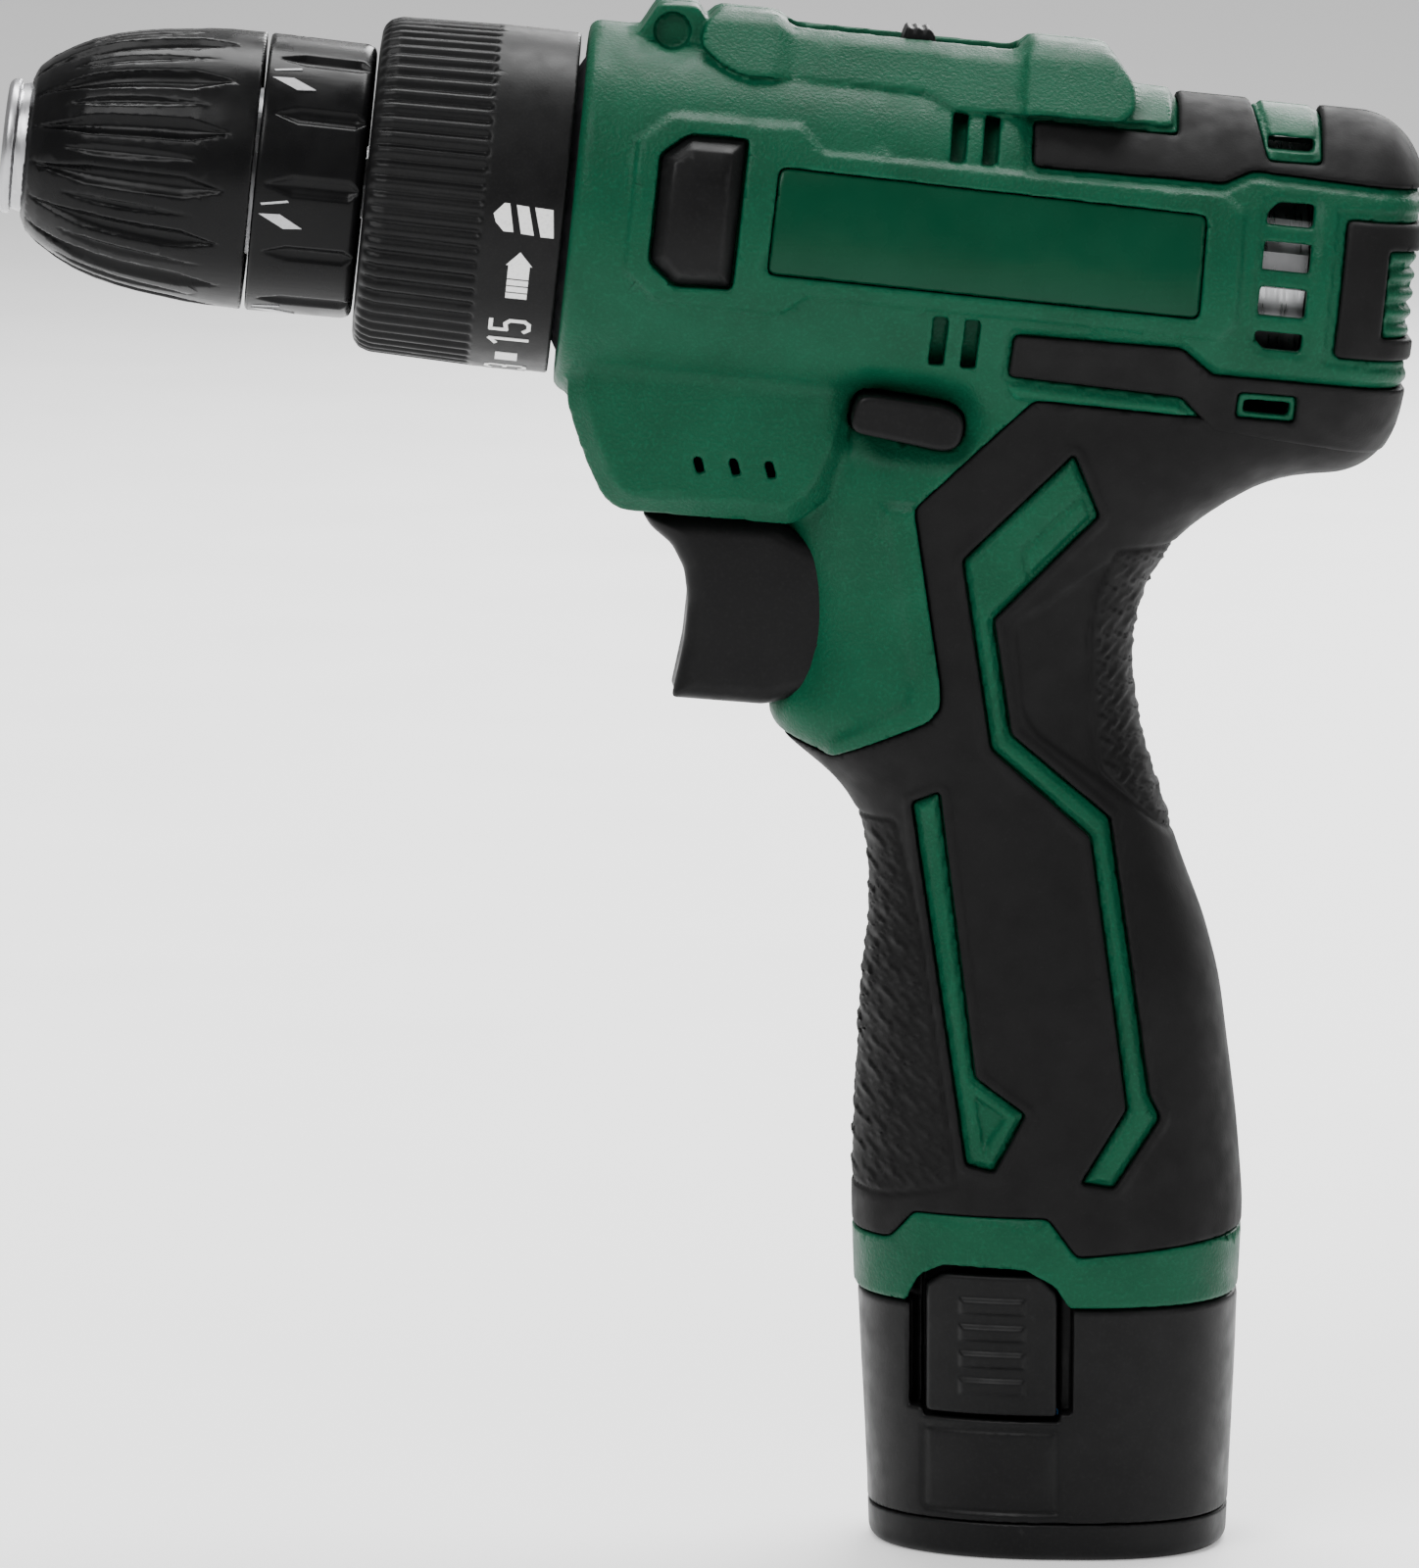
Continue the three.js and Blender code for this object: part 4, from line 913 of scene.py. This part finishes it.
def build_print(name, marks, radius, look, body):
    """Thin print on a cylinder about the spindle: marks are (angle, outline of x and arc points)."""
    points, faces = [], []
    for middle, outline in marks:
        first = len(points)
        count = len(outline)
        for lift in (0.05, -0.1):
            for x, arc in outline:
                turn = middle + arc / radius
                r = (radius + lift) * MM
                points.append(HEAD_TO_ROW @ Vector((x * MM, -r * math.cos(turn), r * math.sin(turn))))
        faces.append(tuple(range(first, first + count)))
        faces.append(tuple(range(first + 2 * count - 1, first + count - 1, -1)))
        for i in range(count):
            j = (i + 1) % count
            faces.append((first + i, first + count + i, first + count + j, first + j))
    mesh = bpy.data.meshes.new(name)
    mesh.from_pydata(points, [], faces)
    fit(link(name, mesh), look, body)


DIGITS = {
    "0": [[(0.4, 0), (1.6, 0), (2, 0.5), (2, 4.5), (1.6, 5), (0.4, 5), (0, 4.5), (0, 0.5), (0.4, 0)]],
    "1": [[(0.1, 4.2), (1.1, 5), (1.1, 0)]],
    "3": [[(0, 4.4), (0.5, 5), (1.6, 5), (2, 4.5), (2, 3), (1.6, 2.6), (0.8, 2.6)],
          [(1.6, 2.6), (2, 2.2), (2, 0.5), (1.6, 0), (0.5, 0), (0, 0.6)]],
    "5": [[(2, 5), (0.2, 5), (0.2, 2.9), (1.4, 3.1), (2, 2.5), (2, 0.6), (1.5, 0), (0.5, 0), (0, 0.6)]],
    "7": [[(0, 5), (2, 5), (0.8, 0)]],
    "9": [[(2, 2.6), (1.5, 2.1), (0.5, 2.1), (0, 2.6), (0, 4.5), (0.5, 5), (1.5, 5), (2, 4.5), (2, 0.7),
           (1.5, 0), (0.5, 0), (0, 0.5)]],
}
STROKE = 0.27
DIGIT_WIDTH = 2.9


def digit_marks(text, middle, baseline):
    """Strokes of a number that reads along the rim with its feet to the rear."""
    marks = []
    for place, digit in enumerate(text):
        shift = (place - (len(text) - 1) / 2) * DIGIT_WIDTH - 1.0
        for stroke in DIGITS[digit]:
            for (a0, b0), (a1, b1) in zip(stroke, stroke[1:]):
                p = np.array([baseline - b0, shift + a0])
                q = np.array([baseline - b1, shift + a1])
                along = (q - p) / np.linalg.norm(q - p)
                off = np.array([-along[1], along[0]]) * STROKE
                ends = (p - along * STROKE * 0.6, q + along * STROKE * 0.6)
                outline = [ends[0] - off, ends[1] - off, ends[1] + off, ends[0] + off]
                marks.append((middle, [tuple(corner) for corner in outline]))
    return marks


def area(outline):
    """Signed area of an outline of (x, arc) points."""
    return sum(a[0] * b[1] - b[0] * a[1] for a, b in zip(outline, outline[1:] + outline[:1])) / 2


def build_collar():
    """The torque ring with its knurl, numbers, bit arrow and drill icon."""
    grid = Grid((-27.5, 0.5), (-23.6, 23.6), (-23.6, 23.6), FINE_PITCH, tilted=True)
    field = revolved(grid, COLLAR, 0.3)
    wave = 0.5 - 0.5 * np.cos(RIBS * turn_about_spindle(grid))
    length = single(np.interp(grid.hx, [-26.2, -25, -11.2, -10.8], [0, 1, 1, 0]))
    outside = single(np.hypot(grid.y, grid.hz) > 20.2)
    field = field + 0.55 * single(wave**1.6) * length * outside
    piece_from(
        "torque_ring", field, grid, "collar", "black_plastic", ("torque_collar",), COLLAR_BLACK,
        adaptivity=0.03,
    )

    marks = []
    square = [(-7.4, -1.2), (-4.5, -1.2), (-4.5, 1.2), (-7.4, 1.2)]
    for index, number in enumerate(SCALE_NUMBERS):
        middle = SCALE_FIRST - 2 * index * SCALE_STEP
        marks += digit_marks(number, middle, -3.4)
        if number != SCALE_NUMBERS[-1]:
            marks.append((middle - SCALE_STEP, square))
    marks.append((BIT_ARROW_TURN, [(-7.2, 1.5), (-3.8, 1.5), (-5.5, 3.4)]))
    for low, high in ((-0.4, 1.6), (-1.4, -0.6), (-2.4, -1.6), (-3.4, -2.6)):
        bar = [(-6.9, low), (-4.1, low), (-4.1, high), (-6.9, high)]
        marks.append((BIT_ARROW_TURN, bar))
    for outline in (
        [(-9.5, 0.6), (-8.2, 2.1), (-7.5, 2.1), (-6.7, -1.6), (-8, -1.6), (-9.1, -0.5)],
        [(-6.6, 2), (-5, 1.9), (-4, -1.8), (-5.7, -1.7)],
        [(-4.2, 1.9), (-1.8, 1.8), (-1.4, -1.9), (-3.1, -1.9)],
    ):
        marks.append((DRILL_ICON_TURN, outline))
    marks = [(turn, outline if area(outline) > 0 else outline[::-1]) for turn, outline in marks]
    build_print("collar_markings", marks, SCALE_PRINT_R, WHITE_INK, "collar")


# ---------------------------------------------------------------- controls
def build_controls():
    """Trigger, reversing bar, speed knob and work light."""
    grid = Grid((-56, -26), (-10, 10), (111, 140), FINE_PITCH)
    face = region(TRIGGER, grid.x, grid.z, 0.8)
    field = both(face, grid.side - TRIGGER_HALF, 2.6)
    dish = np.exp(-((grid.y / 6.5) ** 2)) * step(-(face + 3), 3)
    field = field + 0.35 * single(dish)
    piece_from("trigger_lever", field, grid, "trigger", "black_plastic", ("trigger",))

    bar = Grid((38, 56), (-20.5, 20.5), (-27, -18), FINE_PITCH, tilted=True)
    field = both(region(REVERSE_BAR, bar.hx, bar.hz, 1.8), bar.side - 19.2, 0.7)
    piece_from("reverse_button", field, bar, "reverse_bar", "black_plastic", ("reverse_bar",))

    knob = Grid((18, 52), (-6, 6), (17, 29.2), FINE_PITCH, tilted=True)
    plate = box_region(knob.hx, knob.hz, (30, 50), (20.6, 21.8))
    plate = both(plate, knob.side - 5, 0.3)
    outline = [(KNOB_X - 2.8, 21), (KNOB_X + 2.8, 21), (KNOB_X + 2, 28.2), (KNOB_X - 1.9, 28.2)]
    thumb = both(region(outline, knob.hx, knob.hz, 0.6), knob.side - 4.6, 0.6)
    wave = 0.5 + 0.5 * np.cos(knob.hx * 2 * np.pi / 1.3)
    thumb = thumb + 0.3 * single(step(27.4 - knob.hz, 0.6) * wave)
    arm = both(box_region(knob.hx, knob.hz, (20, 32), (20.5, 21.3)), knob.side - 1.2, 0.2)
    fork = both(box_region(knob.hx, knob.hz, (20, 20.8), (17.8, 20.9)), knob.side - 1.2, 0.2)
    field = np.minimum(np.minimum(merged(plate, thumb, 0.5), arm), fork)
    piece_from("speed_knob", field, knob, "selector", "black_plastic", ("speed_selector",))

    lens = Grid((2.6, 10.4), (-5, 5), (-34, -26), FINE_PITCH, tilted=True)
    field = both(region(LENS, lens.hx, lens.hz, 0.3), lens.side - LENS_HALF, 0.4)
    piece_from("work_light_lens", field, lens, "housing", "clear_lens", ("light_lens",))


# ---------------------------------------------------------------- battery
RIB_ROWS = (23.4, 27.0, 30.6, 34.2)
CELLS = 3


def pack_envelope(grid):
    """The battery's outer form below the handle."""
    return loft(grid, grid.z, grid.x, PACK, 2.4, PLAN_SKEW, soften=3)


def build_battery():
    """The battery's case with its stem, pockets and wells, its foot and the two latch buttons."""
    front, rear = LATCH_X
    low_z, high_z = LATCH_Z
    grid = Grid((-26.5, 26.5), (-23, 23), (-1, STEM_TOP + 1), PITCH)
    pack = pack_envelope(grid)
    case = both(pack, single(grid.z - CASE_TOP), 0.6)
    case = both(case, single(BASE_TOP + 0.15 - grid.z), 0.15)
    stem_stations = [(CASE_TOP - 3, -20.5, 19.4, 19.4), (STEM_TOP, -20.5, 19.4, 19.4)]
    stem = loft(grid, grid.z, grid.x, stem_stations, PLAN_POWER, PLAN_SKEW)
    stem = both(stem, single(grid.z - STEM_TOP), 1.2)
    stem = both(stem, single(CASE_TOP - 3 - grid.z), 0.2)
    case = np.minimum(case, stem)
    panel = [(front - 0.2, 6.6), (rear + 0.2, 6.6), (rear + 0.2, 17.6), (front - 0.2, 17.6)]
    seams = np.abs(region(panel, grid.x, grid.z, 0.3)) - 0.1
    case = case + 0.45 * step(seams - 0.1, 0.4)
    for x in ((front - LATCH_SLOT_WIDTH, front), (rear, rear + LATCH_SLOT_WIDTH)):
        slot = box_region(grid.x, grid.z, x, (low_z + 0.4, high_z + 3))
        case = cut(case, np.maximum(slot, -(pack + 3.4)), 0.3)
    well = box_region(grid.x, grid.z, (front - 0.4, rear + 0.4), (low_z - 0.7, high_z + 0.6))
    case = cut(case, np.maximum(well, -(pack + 5)), 0.2)
    for index in range(1, CELLS + 1):
        low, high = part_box(f"cell_{index}")
        x, y = (low.x + high.x) / 2 / MM, (low.y + high.y) / 2 / MM
        pocket = np.hypot(grid.x - x, grid.y - y) - (high.x - low.x) / 2 / MM - 0.3
        case = cut(case, np.maximum(single(pocket), single(grid.z - high.z / MM - 0.4)), 0.1)
    for y in (-6, 0, 6):
        contact = box_region(grid.x, grid.z, (-6, 6), (70, 80))
        case = cut(case, np.maximum(contact, np.abs(grid.y - y) - 1), 0.15)
    piece_from(
        "battery_shell", case, grid, "battery", "black_plastic", ("battery_case",),
        adaptivity=0.01,
    )

    foot = Grid((-26.5, 26.5), (-23, 23), (-1, BASE_TOP + 1), FINE_PITCH)
    field = both(pack_envelope(foot), single(-foot.z), 1.6)
    field = both(field, single(foot.z - BASE_TOP), 0.15)
    piece_from("battery_foot", field, foot, "battery", "black_plastic", ("battery_base",))

    latch = Grid((front - 1, rear + 1), (10, 24), (low_z - 1, high_z + 1), FINE_PITCH)
    outer = pack_envelope(latch)
    outline = [
        (front, low_z), (rear, low_z), (rear, high_z - 2.2), (rear - 2.2, high_z),
        (front + 2.2, high_z), (front, high_z - 1.6),
    ]
    shape = region(outline, latch.x, latch.z, 0.6)
    middle = (front + rear) / 2
    for z in RIB_ROWS:
        rib = box_region(latch.x, latch.z, (middle - 4.2, middle + 4.2), (z - 0.9, z + 0.9))
        outer = outer - 0.5 * step(rib, 0.5)
    field = both(outer, shape, 0.5)
    field = np.maximum(field, -(outer + 2.4))
    for side, mirrored in (("left", True), ("right", False)):
        piece_from(
            f"latch_button_{side}", field, latch, f"latch_{side}", "black_plastic",
            (f"battery_latch_{side}",), mirrored=mirrored,
        )


# ---------------------------------------------------------------- inner parts, light, floor and camera
FLOOR_HALF = 30.0
LIGHT_AIM = Vector((-0.04, 0, 0.11))
CAMERA_AIM = Vector((-0.0449, 0, 0.1012))
CAMERA_ELEVATION = math.radians(7.7)
CAMERA_AZIMUTH = math.radians(-0.7)
CAMERA_REACH = 1.5625


def paint_frame():
    """Gives every CAD node that stays in view the look of its material slot."""
    for part in RECORD["subparts"]:
        node = frame["nodes"][part["node"]]
        node.data.materials.clear()
        node.data.materials.append(LOOKS[part["material_slot"]])
        node.data.set_sharp_from_angle(angle=math.radians(30))


def area_light(name, place, size, power):
    """A soft rectangular light, turned to the middle of the drill."""
    light = bpy.data.lights.new(name, "AREA")
    light.shape = "RECTANGLE"
    light.size, light.size_y = size
    light.energy = power
    lamp = link(name, light)
    lamp.location = place
    lamp.rotation_euler = (LIGHT_AIM - Vector(place)).to_track_quat("-Z", "Y").to_euler()


def build_stage():
    """A white surround, a pale floor and four soft lights."""
    world = bpy.data.worlds.new("studio_white")
    world.use_nodes = True
    backdrop = world.node_tree.nodes["Background"]
    backdrop.inputs["Color"].default_value = (1, 1, 1, 1)
    backdrop.inputs["Strength"].default_value = 0.42
    bpy.context.scene.world = world
    half = FLOOR_HALF
    corners = [(-half, -half, 0), (half, -half, 0), (half, half, 0), (-half, half, 0)]
    mesh = bpy.data.meshes.new("studio_floor")
    mesh.from_pydata(corners, [], [(0, 1, 2, 3)])
    floor = link("studio_floor", mesh)
    glow = {"Emission_Color": (1, 1, 1, 1), "Emission_Strength": 0.3}
    look = Look("pale_floor", (0.98, 0.98, 0.98), 0.6, **glow)
    look.roughness(look.noise(60), 0.55, 0.7)
    floor.data.materials.append(look.material)
    area_light("key_softbox", (-0.7, -1.0, 1.3), (0.9, 0.9), 22)
    area_light("fill_softbox", (1.2, -1.3, 0.5), (0.8, 1.2), 6)
    area_light("top_softbox", (0.1, 0.5, 1.5), (1.2, 0.6), 34)
    area_light("back_softbox", (0.5, 1.4, 0.8), (1.0, 0.8), 24)


def build_camera():
    """A long lens a little above the drill's left side."""
    data = bpy.data.cameras.new("camera")
    data.lens = 270
    data.sensor_width = 36
    data.clip_start, data.clip_end = 0.05, 200
    camera = link("camera", data)
    level = math.cos(CAMERA_ELEVATION)
    away = Vector((
        math.sin(CAMERA_AZIMUTH) * level, -math.cos(CAMERA_AZIMUTH) * level,
        math.sin(CAMERA_ELEVATION),
    ))
    camera.location = CAMERA_AIM + away * CAMERA_REACH
    camera.rotation_euler = (-away).to_track_quat("-Z", "Y").to_euler()
    bpy.context.scene.camera = camera


paint_frame()
build_housing()
build_chuck()
build_collar()
build_controls()
build_battery()
build_stage()
build_camera()
